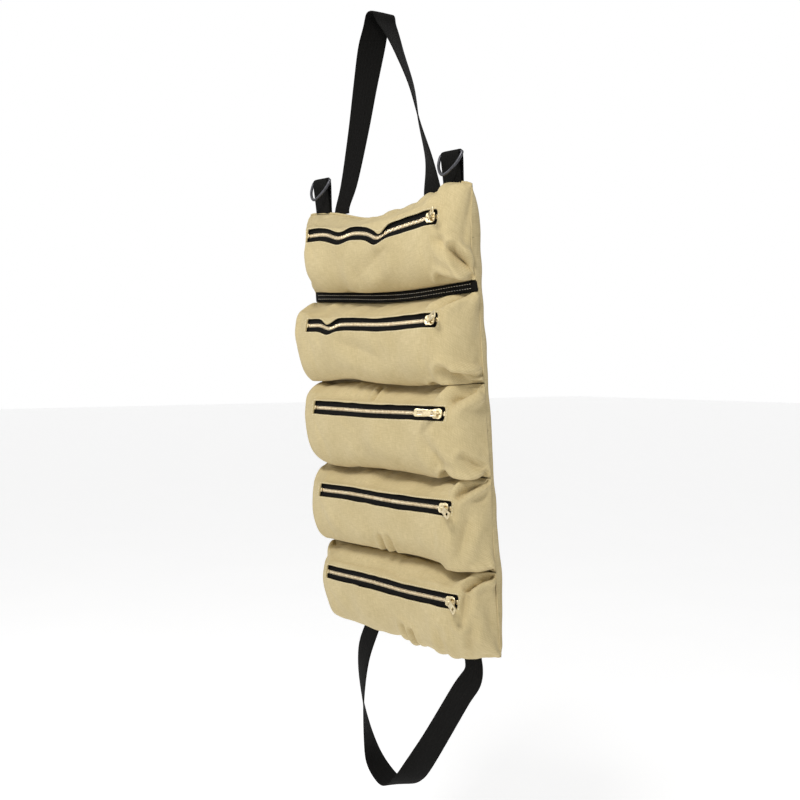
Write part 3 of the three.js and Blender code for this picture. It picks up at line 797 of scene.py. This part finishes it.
def weight_group(piece, name, weights):
    group = piece.vertex_groups.new(name=name)
    for index, weight in enumerate(weights):
        if weight > 0.001:
            group.add([index], float(weight), "REPLACE")


def lip_drop(number, x):
    drop = 0 * x
    for place, depth, half in LIP_FOLDS[number - 1]:
        drop = drop + depth * np.exp(-((x - place) / half) ** 2)
    return drop + 0.3 * ripple(number * 7, x, 0 * x, 34)


def make_pockets(canvas, thread):
    cloths = []
    for pocket in pockets:
        number = pocket["number"]
        x, rows, slot_row, left, right = pocket_grid(pocket)
        points, down, from_right, along, free = shape_cloth(pocket, x, rows, slot_row)
        count = len(rows)
        faces = grid_faces(len(x), count, keep=lambda i, j: not (left <= i < right and j == slot_row))
        uvs = np.stack([along - along[len(x) // 2], down], axis=-1).reshape(-1, 2)
        piece = new_object(f"pocket_{number}_canvas", to_row(points.reshape(-1, 3)), faces, uvs, canvas)
        pin = np.zeros(down.shape)
        pin[[0, -1]] = 1
        pin[:, [0, -1]] = 1
        pin[left:right + 1, slot_row:slot_row + 2] = 1
        pin[left:right + 1, [slot_row - 1, slot_row + 2]] = np.maximum(
            pin[left:right + 1, [slot_row - 1, slot_row + 2]], 0.5)
        edge = np.minimum(np.minimum(from_right, along), np.minimum(down, down[:, -1:] - down))
        loose = np.clip(0.35 + 0.65 * np.exp(-edge / 35), 0, 1)
        weight_group(piece, "pin", pin.ravel())
        weight_group(piece, "loose", loose.ravel())
        cloths.append({"pocket": pocket, "piece": piece, "x": x, "rows": rows, "slot_row": slot_row,
                       "left": left, "right": right, "start": points, "down": down,
                       "from_right": from_right, "free": free})
    settled = [((row - ORIGIN) @ TILT / MM).reshape(cloth["start"].shape)
               for row, cloth in zip(settle([cloth["piece"] for cloth in cloths]), cloths)]
    for cloth, points in zip(cloths, settled):
        finish_pocket(cloth, points, thread)


def keep_below(values, limit, softness=1.5):
    """values eased so that they stay under limit."""
    over = (values - limit) / softness
    return limit - softness * np.log1p(np.exp(np.clip(-over, -40, 40)))


def finish_pocket(cloth, points, thread):
    """Caps how far the cloth moved, presses it against its neighbours, and turns in the zip's lips."""
    pocket, piece, start = cloth["pocket"], cloth["piece"], cloth["start"]
    number = pocket["number"]
    x, slot_row, left, right = cloth["x"], cloth["slot_row"], cloth["left"], cloth["right"]
    moved = points - start
    distance = np.linalg.norm(moved, axis=-1, keepdims=True)
    moved *= CLOTH_CAP * np.tanh(distance / CLOTH_CAP) / np.maximum(distance, 1e-6)
    points = crease(cloth, start + moved)
    grid_x = points[..., 0]
    fade = smoothstep(-points[..., 1], CANVAS, 16)
    if number > 1:
        limit = pocket["top"] + top_line(pocket, grid_x) * (fade if number > 2 else 1) - GAP
        points[..., 2] = np.minimum(points[..., 2], keep_below(points[..., 2], limit, 0.5))
    if number < POCKET_COUNT:
        whole = 1 if number == 1 else fade
        limit = pocket["bottom"] + bottom_line(pocket, grid_x) * whole + GAP
        points[..., 2] = np.maximum(points[..., 2], -keep_below(-points[..., 2], -limit, 0.5))
    upper, lower = points[:, slot_row], points[:, slot_row + 1]
    inside = slice(left, right + 1)
    drop = lip_drop(number, x[inside])
    ends = smoothstep(np.minimum(x[inside] - SLOT_LEFT, SLOT_RIGHT - x[inside]), 0, 10)
    upper[inside] -= pocket["up"] * (drop * ends)[:, None]
    upper[inside] += pocket["out"] * (0.25 * drop * ends)[:, None]
    lower[inside] += pocket["up"] * (0.3 * ripple(number * 5, x[inside], 0 * x[inside], 40) * ends)[:, None]
    mesh = piece.data
    mesh.vertices.foreach_set("co", to_row(points.reshape(-1, 3)).ravel())
    mesh.update()
    turn_in_lips(cloth, points)
    thicken(piece, CLOTH_THICKNESS)
    normals = grid_normals(points)
    # The stitches round each slot sit on the fold of its lips, in a thread lighter than the canvas: real stitching
    # whose colour also carries a painted highlight along the folded lips.
    lines = []
    for row, beyond in ((slot_row, slot_row - 1), (slot_row + 1, slot_row + 2)):
        line = points[inside, row] * 0.5 + points[inside, beyond] * 0.5
        lines.append((line + normals[inside, beyond] * 0.15, normals[inside, beyond]))
    for column, beyond in ((left, left - 1), (right, right + 1)):
        ends = points[column, slot_row:slot_row + 2] * 0.3 + points[beyond, slot_row:slot_row + 2] * 0.7
        lines.append((ends, normals[column, slot_row:slot_row + 2]))
    sewn = stitches(f"pocket_{number}_zip_stitches_painted_highlight", lines, 2.5, 0.9, 0.36, thread)
    for made in (piece, sewn):
        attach(made, f"pocket_{number}")
    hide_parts(f"pocket_{number}")


def turn_in_lips(cloth, points):
    """Folds the cloth round the slot inwards, down to the zip tape."""
    piece, pocket = cloth["piece"], cloth["pocket"]
    count = len(cloth["rows"])
    left, right, row = cloth["left"], cloth["right"], cloth["slot_row"]
    loop = [(i, row) for i in range(left, right + 1)]
    loop += [(i, row + 1) for i in range(right, left - 1, -1)]
    mesh = bmesh.new()
    mesh.from_mesh(piece.data)
    mesh.verts.ensure_lookup_table()
    layer = mesh.loops.layers.uv["cloth"]
    rings = [[mesh.verts[i * count + j] for i, j in loop]]
    for outward, depth in ((0.5, 1.4), (1.6, 3.4)):
        ring = []
        for i, j in loop:
            side = 1 if j == row else -1
            place = points[i, j] - pocket["out"] * depth + pocket["up"] * side * outward
            ring.append(mesh.verts.new(Vector(to_row(place))))
        rings.append(ring)
    for outer, inner in zip(rings, rings[1:]):
        for k in range(len(loop)):
            n = (k + 1) % len(loop)
            face = mesh.faces.new((outer[k], outer[n], inner[n], inner[k]))
            face.smooth = True
            for corner in face.loops:
                i, j = loop[k]
                corner[layer].uv = (cloth["x"][i], 40)
    bmesh.ops.recalc_face_normals(mesh, faces=mesh.faces)
    mesh.normal_update()
    middle = mesh.faces[len(mesh.faces) // 4]
    if middle.normal.y > 0:
        bmesh.ops.reverse_faces(mesh, faces=mesh.faces)
    mesh.to_mesh(piece.data)
    mesh.free()


# ---- back canvas, hems and the band ---------------------------------------------------------------------
BACK_SPLITS = [SEAM_Z[0]] + [(a + b) / 2 for a, b in zip(SEAM_Z, SEAM_Z[1:])] + [SEAM_Z[-1]]


def back_point(x, z):
    """The back canvas: pressed out behind each pocket, held at each seam, rolled round at its side edges."""
    panel = np.clip(np.searchsorted(-np.array(SEAM_Z), -z, side="right") - 1, 0, POCKET_COUNT - 1)
    seams = np.array(SEAM_Z)
    down = (seams[panel] - z) / (seams[panel] - seams[panel + 1])
    bulge = 1.2 + (BACK_BULGE - 1.2) * np.sin(math.pi * np.clip(down, 0, 1)) ** 0.55
    roll = np.where(x > 0, waves(EDGE_ROLL, z), waves(EDGE_ROLL, -560 - z * 0.9))
    roll = (EDGE_ROLL_LEVEL + roll) * 1.15 + 0.8 * ripple(91, z, 0 * z, 46) * smoothstep(-z, 0, 20)
    edge_distance = HALF_WIDTH - np.abs(x)
    inner = smoothstep(edge_distance, 8, 46)
    level = roll * (1 - inner) + bulge * inner
    rise = np.sqrt(np.clip(1 - (1 - np.clip(edge_distance / 9, 0, 1)) ** 2, 0, 1))
    start = seam_y(z) + 0.3
    hem = smoothstep(-z, 0, 14) * smoothstep(z - SEAM_Z[-1], 0, 12)
    y = start + (level * hem + 0.4 - start) * rise
    flat = smoothstep(edge_distance, 30, 60) * smoothstep(np.sin(math.pi * down), 0.5, 0.9)
    y += 0.7 * ripple(92, x, z, 60) * smoothstep(edge_distance, 0, 30) * hem * (1 - flat)
    gather = ripple(93, x, 0 * x, 22) * np.exp(-np.minimum(down, 1 - down) * 9)
    y += gather * 0.6 * smoothstep(edge_distance, 0, 20)
    lumps = (1.9 + 0.9 * ripple(94, z, 0 * z, 40)) * hem
    out = np.sign(x) * lumps * np.sin(math.pi * np.clip(edge_distance / 18, 0, 1)) * (edge_distance < 18)
    return x + out, y


def make_back(canvas):
    outer = HALF_WIDTH - 18 + 18 * np.sin(np.linspace(0, math.pi / 2, 9))
    x = np.concatenate([-outer[::-1], np.linspace(-HALF_WIDTH + 18, HALF_WIDTH - 18, 80)[1:-1], outer])
    for index, (top, bottom) in enumerate(zip(BACK_SPLITS, BACK_SPLITS[1:])):
        z = np.linspace(top, bottom, max(int((top - bottom) / 3.6), 4))
        grid_x, grid_z = np.meshgrid(x, z, indexing="ij")
        new_x, y = back_point(grid_x, grid_z)
        real_z = grid_z.copy()
        if index == 0:
            real_z += waves(TOP_HEM, grid_x) * smoothstep(grid_z, -40, 0)
        if index == POCKET_COUNT:
            real_z += waves(BOTTOM_HEM, grid_x) * smoothstep(-grid_z, -SEAM_Z[-1] - 30, -SEAM_Z[-1])
        points = np.stack([new_x, y, real_z], axis=-1).reshape(-1, 3)
        uvs = np.stack([grid_x, grid_z], axis=-1).reshape(-1, 2)
        faces = [face[::-1] for face in grid_faces(len(x), len(z))]
        piece = new_object(f"back_canvas_{index + 1}", to_row(points), faces, uvs, canvas)
        thicken(piece, CLOTH_THICKNESS, rim=False)
        if index in (0, POCKET_COUNT):
            body = "pocket_1" if index == 0 else f"pocket_{POCKET_COUNT}"
            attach(piece, body)
            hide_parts("back_panel_1" if index == 0 else f"back_panel_{POCKET_COUNT}")
        else:
            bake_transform(piece)
            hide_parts(f"back_panel_{index}", f"back_panel_{index + 1}")


def make_side_welts(canvas):
    """The turned seam allowance that shows as a thin welt down each side of a pocket."""
    for pocket in pockets:
        number = pocket["number"]
        z = np.linspace(SEAM_Z[number - 1] - 1, SEAM_Z[number] + 1, 40)
        for side, sign in (("left", -1), ("right", 1)):
            line = np.stack([np.full_like(z, sign * (HALF_WIDTH - 0.9)), seam_y(z) + 0.1, z], axis=1)
            radius = 1.05 + 0.15 * ripple(number * 3 + sign, z, 0 * z, 14)
            welt = tube(f"pocket_{number}_{side}_welt", to_row(line), radius * MM, canvas, sides=8)
            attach(welt, f"pocket_{number}")


def make_hems(canvas):
    x = np.linspace(-HALF_WIDTH + 0.5, HALF_WIDTH - 0.5, 150)
    for name, table, level, body in (("top_hem", TOP_HEM, 0.0, "pocket_1"),
                                     ("bottom_hem", BOTTOM_HEM, SEAM_Z[-1], f"pocket_{POCKET_COUNT}")):
        line = np.stack([x, np.full_like(x, SEAM_PLANE), level + waves(table, x)], axis=1)
        ends = smoothstep(HALF_WIDTH - np.abs(x), 0, 5)
        gathers = 0.25 * ripple(level + 60, x, 0 * x, 9) * smoothstep(x, 90, 130)
        radius = (1.0 + 1.2 * ends + gathers) * MM
        piece = tube(name, to_row(line), radius, canvas, sides=12, squash=0.85)
        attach(piece, body)


def make_band(webbing, thread):
    low, high = roll_box("cross_band")
    x = np.linspace(-HALF_WIDTH, HALF_WIDTH, 130)
    drop = waves(GROOVES[0], x)
    profile = [(0.0, 0.0), (-1.6, 0.3), (-2.4, 1.2), (-2.6, 6.2), (-2.6, 6.9), (-2.4, 11.8), (-1.6, 12.7),
               (0, 13)]
    grid = []
    for i in range(len(x)):
        bow = 0.35 * math.sin(x[i] / 17) + 0.2 * math.sin(x[i] / 7.3)
        ends = smoothstep(HALF_WIDTH - abs(x[i]), 0, 6)
        for y, z in profile:
            front = high[1] + (y + bow * (y < -1)) * (0.35 + 0.65 * ends)
            grid.append([x[i], front, low[2] + z + drop[i]])
    faces = grid_faces(len(x), len(profile), closed_rows=True)
    faces.append(tuple(range(len(profile))))
    faces.append(tuple(range((len(x) - 1) * len(profile), len(x) * len(profile)))[::-1])
    uvs = [(px, z) for px in x for y, z in profile]
    band = new_object("cross_band_webbing", to_row(grid), faces, uvs, webbing)
    recalculate(band)
    lines = []
    for z in (4.1, 9.2):
        wander = 0.3 * np.sin(x / 31 + z)
        y = high[1] - 2.75 + 0.35 * np.sin(x / 17) + 0.2 * np.sin(x / 7.3)
        line = np.stack([x, y, low[2] + z + drop + wander], axis=1)[3:-3]
        lines.append((line, np.tile([0, -1, 0], (len(line), 1))))
    sewn = stitches("cross_band_stitches", lines, 3.2, 1.8, 0.42, thread)
    for piece in (band, sewn):
        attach(piece, "pocket_1")
    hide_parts("cross_band")


# ---- webbing --------------------------------------------------------------------------------------------
def leg_pair(z, x, y, turn, fall):
    half = WEBBING_WIDTH / 2
    across = np.array([math.cos(math.radians(turn)) * half, math.sin(math.radians(turn)) * half, fall / 2])
    middle = np.array([x, y, z], float)
    return np.concatenate([middle - across, middle + across])


def make_hanging_strap(webbing):
    top_z = LOOP_RISE + WEBBING / 2
    fall = -WEBBING_WIDTH * math.tan(LEAN)
    left = [leg_pair(*row) for row in LEFT_LEG]
    right = [leg_pair(*row) for row in RIGHT_LEG]
    right = [np.concatenate([pair[3:], pair[:3]]) for pair in right[::-1]]
    apex = [leg_pair(top_z, side * APEX_HALF_LENGTH, LOOP_SETBACK, 90, fall) for side in (-1, 1)]
    bends = [leg_pair(top_z - 3.2, side * (APEX_HALF_LENGTH + 2.6), LOOP_SETBACK, 90, fall)
             for side in (-1, 1)]
    legs = [catmull(left, 12), catmull(right, 12)]
    line = np.vstack([legs[0], bends[0], apex[0], apex[1], bends[1], legs[1]])
    line = rounded_line(spaced(line, 3.0), 4)
    strap = ribbon("hanging_webbing", line[:, :3], line[:, 3:], WEBBING, webbing)
    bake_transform(strap)
    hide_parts("hanging_strap")


def closing_edges():
    """The closing webbing's edges: along the hem at both feet, and square to its route in between."""
    route = catmull(CLOSING_ROUTE, 12)
    along = np.gradient(route[:, :3], axis=0)
    along /= np.linalg.norm(along, axis=1, keepdims=True)
    turn = np.radians(route[:, 3])
    across = np.stack([np.cos(turn), np.sin(turn), 0 * turn], axis=1)
    t = np.linspace(0, 1, len(route))
    square = np.clip(FOOT_SQUARING * np.minimum(t, 1 - t), 0, 1)
    across -= (square * (across * along).sum(1))[:, None] * along
    across *= WEBBING_WIDTH / 2 / np.linalg.norm(across, axis=1, keepdims=True)
    edges = np.hstack([route[:, :3] - across, route[:, :3] + across])
    foot = [0, 0, FOOT_DEPTH] * 2
    edges = np.vstack([edges[:1] + foot, edges, edges[-1:] + foot])
    edges[:, [2, 5]] += SEAM_Z[-1]
    return edges


def make_closing_strap(webbing):
    line = rounded_line(spaced(closing_edges(), 3.0), 2)
    strap = ribbon("closing_webbing", line[:, :3], line[:, 3:], WEBBING, webbing, seed=2)
    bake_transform(strap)
    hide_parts("closing_strap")


def make_tab_and_ring(side, webbing, steel):
    bar = to_roll(joints[f"{side}_ring_swing"]["pos_m"])
    bend = RING_WIRE + GAP + WEBBING / 2
    path = [[1.2, -5], [1.4, 4], [bend, bar[2] - 9]]
    turns = [math.radians(a) for a in range(0, 181, 15)]
    path += [[bend * math.cos(a), bar[2] + bend * math.sin(a)] for a in turns]
    path += [[-bend, bar[2] - 9], [-1.4, 4], [-1.2, -5]]
    path = rounded_line(spaced(np.array(path, float), 1.6), 3)
    half = WEBBING_WIDTH / 2
    left = np.stack([np.full(len(path), bar[0] - half), SEAM_PLANE + path[:, 0], path[:, 1]], axis=1)
    right = left + np.array([2 * half, 0, 0])
    tab = ribbon(f"{side}_tab_webbing", left, right, WEBBING, webbing, seed=4)
    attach(tab, "pocket_1")
    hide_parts(f"{side}_ring_tab")

    half_ring, reach = RING_HALF_WIDTH, RING_REACH
    bow = [(half_ring * math.cos(a), -reach * math.sin(a) * (1 - 0.08 * math.sin(2 * a) ** 2))
           for a in np.linspace(math.radians(6), math.radians(174), 44)]
    corner = [(half_ring - 2.2, 0), (half_ring - 0.6, -0.7), (half_ring, -2.2)]
    outline = [(x, 0) for x in np.linspace(-half_ring + 3, half_ring - 3, 12)]
    outline += corner + bow + [(-half_ring, -2.2), (-half_ring + 0.6, -0.7), (-half_ring + 2.2, 0)]
    outline = np.array(outline, float)
    tilt = math.radians(RING_TILT)
    points = np.stack([outline[:, 0] + bar[0], outline[:, 1] * math.sin(tilt) + bar[1],
                       outline[:, 1] * math.cos(tilt) + bar[2]], axis=1)
    ring = tube(f"{side}_d_ring", to_row(points), RING_WIRE * MM, steel, sides=14, closed=True,
                up=TILT @ np.array([0, math.cos(tilt), -math.sin(tilt)]))
    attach(ring, f"{side}_ring")
    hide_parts(f"{side}_ring")


# ---- zips -----------------------------------------------------------------------------------------------
def zip_place(pocket, x, outward, upward):
    """Points of the zip: x along it, outward from its face, upward along the face; it follows its waves."""
    x = np.asarray(x, float)
    wave = zip_wave(pocket, x)
    back = (-pocket["seat"][1] - CANVAS - GAP) * (1 - end_profile(pocket, x))
    return (pocket["seat"] + np.stack([x, back, 0 * x], axis=-1)
            + np.multiply.outer(wave + upward, pocket["up"])
            + np.multiply.outer(outward + 0 * x, pocket["out"]))


def bevelled_box(size, bevel):
    """Points and faces of a box with its edges cut, centred on the origin."""
    mesh = bmesh.new()
    bmesh.ops.create_cube(mesh, size=1)
    bmesh.ops.scale(mesh, vec=size, verts=mesh.verts)
    bmesh.ops.bevel(mesh, geom=mesh.edges[:], offset=bevel, segments=2, affect="EDGES", profile=0.6)
    mesh.verts.ensure_lookup_table()
    points = [tuple(v.co) for v in mesh.verts]
    faces = [tuple(v.index for v in face.verts) for face in mesh.faces]
    mesh.free()
    return points, faces


def zip_frame(pocket, x, outward=0.0, upward=0.0):
    """A matrix that sets a shape (X along, Y inward, Z up the face) at a place on the zip."""
    step = 0.5
    before = zip_place(pocket, x - step, outward, upward)
    after = zip_place(pocket, x + step, outward, upward)
    along = (after - before) / np.linalg.norm(after - before)
    inward = -pocket["out"]
    up = np.cross(along, inward)
    return np.column_stack([along, inward, up, zip_place(pocket, x, outward, upward)])


def make_zip(pocket, tape, brass, teeth_brass):
    number = pocket["number"]
    body = f"pocket_{number}"
    x = np.linspace(SLOT_LEFT - TAPE_END, SLOT_RIGHT + TAPE_END, 110)
    for name, side in (("upper", 1), ("lower", -1)):
        profile = [(TAPE_INNER - 0.4, -5.2), (TAPE_INNER, -4.3), (TAPE_INNER + 1.0, -4.1),
                   (TAPE_INNER + 1.8, -4.6), (5.5, -4.75), (8.0, -4.9), (TAPE_OUTER, -5.3),
                   (TAPE_OUTER, -6.0), (TAPE_INNER, -5.7)]
        points = np.stack([zip_place(pocket, x, out + 0.15 * np.sin(x / 21 + number), side * up)
                           for up, out in profile], axis=1).reshape(-1, 3)
        faces = grid_faces(len(x), len(profile), closed_rows=True)
        faces.append(tuple(range(len(profile))))
        faces.append(tuple(range((len(x) - 1) * len(profile), len(x) * len(profile)))[::-1])
        uvs = [(px, up) for px in x for up, out in profile]
        made = new_object(f"zip_{number}_{name}_tape_woven", to_row(points), faces, uvs, tape)
        recalculate(made)
        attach(made, body)
        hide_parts(f"zip_{number}_{name}_tape")

    tooth_points, tooth_faces = bevelled_box((1.15, 2.2, 3.3), 0.28)
    pitch = 1.32
    count = int((CHAIN_RIGHT - CHAIN_LEFT) / pitch)
    depth = (CHAIN_FRONT + CHAIN_BACK) / 2
    places = [zip_frame(pocket, CHAIN_LEFT + (i + 0.5) * pitch, -depth + 0.1, 0.75 * (-1) ** i)
              for i in range(count)]
    teeth = repeated(f"zip_{number}_chain", tooth_points, tooth_faces, places, teeth_brass)
    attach(teeth, body)
    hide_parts(f"zip_{number}_teeth")

    stop_points, stop_faces = bevelled_box((2.7, 3.6, 5.6), 0.6)
    for name in ("bottom", "top"):
        low, high = roll_box(f"zip_{number}_{name}_stop")
        place = zip_frame(pocket, (low[0] + high[0]) / 2, -(1.8 + CHAIN_BACK) / 2)
        stop = repeated(f"zip_{number}_{name}_clamp", stop_points, stop_faces, [place], brass)
        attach(stop, body)
        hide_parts(f"zip_{number}_{name}_stop")


def rounded_outline(corners, radius, steps=4):
    """A closed outline with its corners rounded."""
    points = []
    corners = [np.array(c, float) for c in corners]
    for i, corner in enumerate(corners):
        before, after = corners[i - 1], corners[(i + 1) % len(corners)]
        to_before, to_after = before - corner, after - corner
        reach = min(radius, np.linalg.norm(to_before) * 0.45, np.linalg.norm(to_after) * 0.45)
        a = corner + to_before / np.linalg.norm(to_before) * reach
        b = corner + to_after / np.linalg.norm(to_after) * reach
        for t in np.linspace(0, 1, steps):
            points.append((1 - t) ** 2 * a + 2 * t * (1 - t) * corner + t**2 * b)
    return np.array(points)


def plate(name, outlines, thickness, bevel, material, place):
    """A flat piece with rounded edges. Outlines after the first are holes; place is a 3x4 matrix, with the
    plate's outline in its X and Z and its thickness along its Y."""
    curve = bpy.data.curves.new(name, "CURVE")
    curve.dimensions = "2D"
    curve.fill_mode = "BOTH"
    curve.extrude = max(thickness / 2 - bevel, 0.01)
    curve.bevel_depth = bevel
    curve.bevel_resolution = 2
    for outline in outlines:
        spline = curve.splines.new("POLY")
        spline.points.add(len(outline) - 1)
        for point, (a, b) in zip(spline.points, outline):
            point.co = (a, b, 0, 1)
        spline.use_cyclic_u = True
    holder = bpy.data.objects.new(name + "_outline", curve)
    mesh = bpy.data.meshes.new_from_object(holder)
    flat = np.array([v.co for v in mesh.vertices]).reshape(-1, 3)
    faces = [tuple(p.vertices) for p in mesh.polygons]
    bpy.data.objects.remove(holder)
    bpy.data.curves.remove(curve)
    bpy.data.meshes.remove(mesh)
    local = np.stack([flat[:, 0], flat[:, 2], flat[:, 1], np.ones(len(flat))], axis=1)
    points = local @ np.asarray(place).T
    piece = new_object(name, to_row(points), faces, None, material, smooth=False)
    merge_close(piece)
    recalculate(piece)
    return piece


def merge_close(piece):
    mesh = bmesh.new()
    mesh.from_mesh(piece.data)
    bmesh.ops.remove_doubles(mesh, verts=mesh.verts, dist=0.01 * MM)
    mesh.to_mesh(piece.data)
    mesh.free()


def make_slider(pocket, brass):
    """A zip slider: a shield-shaped plate with turned-down flanges, and the bridge that holds the pull."""
    number = pocket["number"]
    base = zip_frame(pocket, SLIDER_X)
    half = SLIDER_LENGTH / 2
    edge = [(-half, 4.4), (-half + 2, 5.0), (half - 4, 6.2), (half - 0.4, 4.4), (half, 1.2)]
    shield = rounded_outline([(along, -up) for along, up in edge] + edge[::-1], 1.4)
    top = plate(f"zip_{number}_slider_body", [shield], SHIELD_DEPTH, SHIELD_ROUNDING, brass,
                zip_offset(base, 0, SHIELD_INWARD, 0))
    parts = [top]
    for side in (-1, 1):
        flange = rounded_outline([(-half + 0.5, -0.6), (half - 3.5, -0.6), (half - 2.5, 0.6),
                                  (-half + 0.5, 0.6)], 0.5)
        turned = zip_offset(base, 0, FLANGE_INWARD, side * FLANGE_SPREAD)
        parts.append(plate(f"zip_{number}_flange_{side}", [flange], FLANGE_DEPTH, FLANGE_ROUNDING,
                           brass, turned))
    rise = [(4.6, 1.0), (4.5, -0.9), (3.4, -2.35), (1.2, -2.75)]
    path = np.array([(-along, inward) for along, inward in rise] + rise[::-1], float)
    path = spaced(catmull(path, 6), 0.7)
    line = np.array([base @ np.array([a, b, 0, 1]) for a, b in path])
    parts.append(tube(f"zip_{number}_bridge", to_row(line), BRIDGE_RADIUS * MM, brass, sides=10,
                      up=TILT @ pocket["up"], squash=1.0))
    widen(parts[-1], pocket, BRIDGE_WIDENING)
    slider = join(parts)
    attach(slider, f"slider_{number}")
    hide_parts(f"zip_{number}_slider")


def widen(piece, pocket, factor):
    """Stretches a piece of the slider across the zip."""
    up = TILT @ pocket["up"]
    points = np.array([v.co for v in piece.data.vertices])
    centre = points.mean(0)
    offset = (points - centre) @ up
    points += np.multiply.outer(offset * (factor - 1), up)
    piece.data.vertices.foreach_set("co", points.ravel())


def zip_offset(base, along, inward, up):
    moved = np.array(base, float)
    moved[:, 3] = base @ np.array([along, inward, up, 1])
    return moved


def join(parts):
    bpy.ops.object.select_all(action="DESELECT")
    for part in parts:
        part.select_set(True)
    bpy.context.view_layer.objects.active = parts[0]
    bpy.ops.object.join()
    return bpy.context.view_layer.objects.active


def make_pull(pocket, brass):
    """The pull tab: an eye round the bridge, a waist, and a flat tab with a long slot."""
    number = pocket["number"]
    points = np.array([v.co for v in frame["nodes"][f"zip_{number}_pull"].data.vertices])
    middle = ((points - ORIGIN) @ TILT / MM)
    hinge = pocket["hinge"]
    axis = TILT.T @ np.array(joints[f"zip_{number}_pull_swing"]["axis"])
    axis /= np.linalg.norm(axis)
    reach = middle[np.argsort(np.linalg.norm(middle - hinge, axis=1))[-8:]].mean(0) - hinge
    along = reach - axis * (reach @ axis)
    along /= np.linalg.norm(along)
    inward = np.cross(axis, along)
    place = np.column_stack([along, inward, axis, hinge])
    edge = [(-1.1, 3.9), (6.2, 3.9), (8.2, 3.4), (10.5, 3.9), (24.2, 4.3), (25.6, 3.2)]
    outer = rounded_outline([(out, -side) for out, side in edge] + edge[::-1], 1.0)
    eye = rounded_outline([(0.75, -2.6), (5.6, -2.6), (5.6, 2.6), (0.75, 2.6)], 1.2)[::-1]
    slot = rounded_outline([(15.0, -1.9), (22.4, -2.1), (22.4, 2.1), (15.0, 1.9)], 0.7)[::-1]
    pull = plate(f"zip_{number}_pull_tab", [outer, eye, slot], 1.3, 0.35, brass, place)
    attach(pull, f"pull_{number}")
    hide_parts(f"zip_{number}_pull")


# ---- build ----------------------------------------------------------------------------------------------
make_camera()
make_studio()
canvas = canvas_material()
webbing = webbing_material("webbing", (0.0032, 0.003, 0.0026), 1.7, 4.2)
binding = webbing_material("binding", (0.006, 0.0056, 0.005), 1.2, 3.2)
tape = webbing_material("zip_tape", (0.006, 0.0054, 0.005), 1.1, 2.0)
brass = metal_material("pale_brass", (0.56, 0.46, 0.27), (0.80, 0.69, 0.45), 0.2, 0.18)
teeth_brass = metal_material("tooth_brass", (0.64, 0.50, 0.31), (0.88, 0.76, 0.54), 0.2, 0.2)
steel = metal_material("dark_steel", (0.05, 0.05, 0.055), (0.10, 0.10, 0.11), 0.32, 0.2)
white_thread = thread_material("white_thread", (0.66, 0.64, 0.58))
# Thread lighter than the canvas for the zip stitches: a thread colour with a painted highlight of the folded zip
# lips in it.
painted_highlight_thread = thread_material("painted_highlight_thread", (0.82, 0.74, 0.52))

make_pockets(canvas, painted_highlight_thread)
make_back(canvas)
make_side_welts(canvas)
make_hems(canvas)
make_band(binding, white_thread)
make_hanging_strap(webbing)
make_closing_strap(webbing)
for ring_side in ("left", "right"):
    make_tab_and_ring(ring_side, webbing, steel)
for pocket in pockets:
    make_zip(pocket, tape, brass, teeth_brass)
    make_slider(pocket, brass)
    make_pull(pocket, brass)
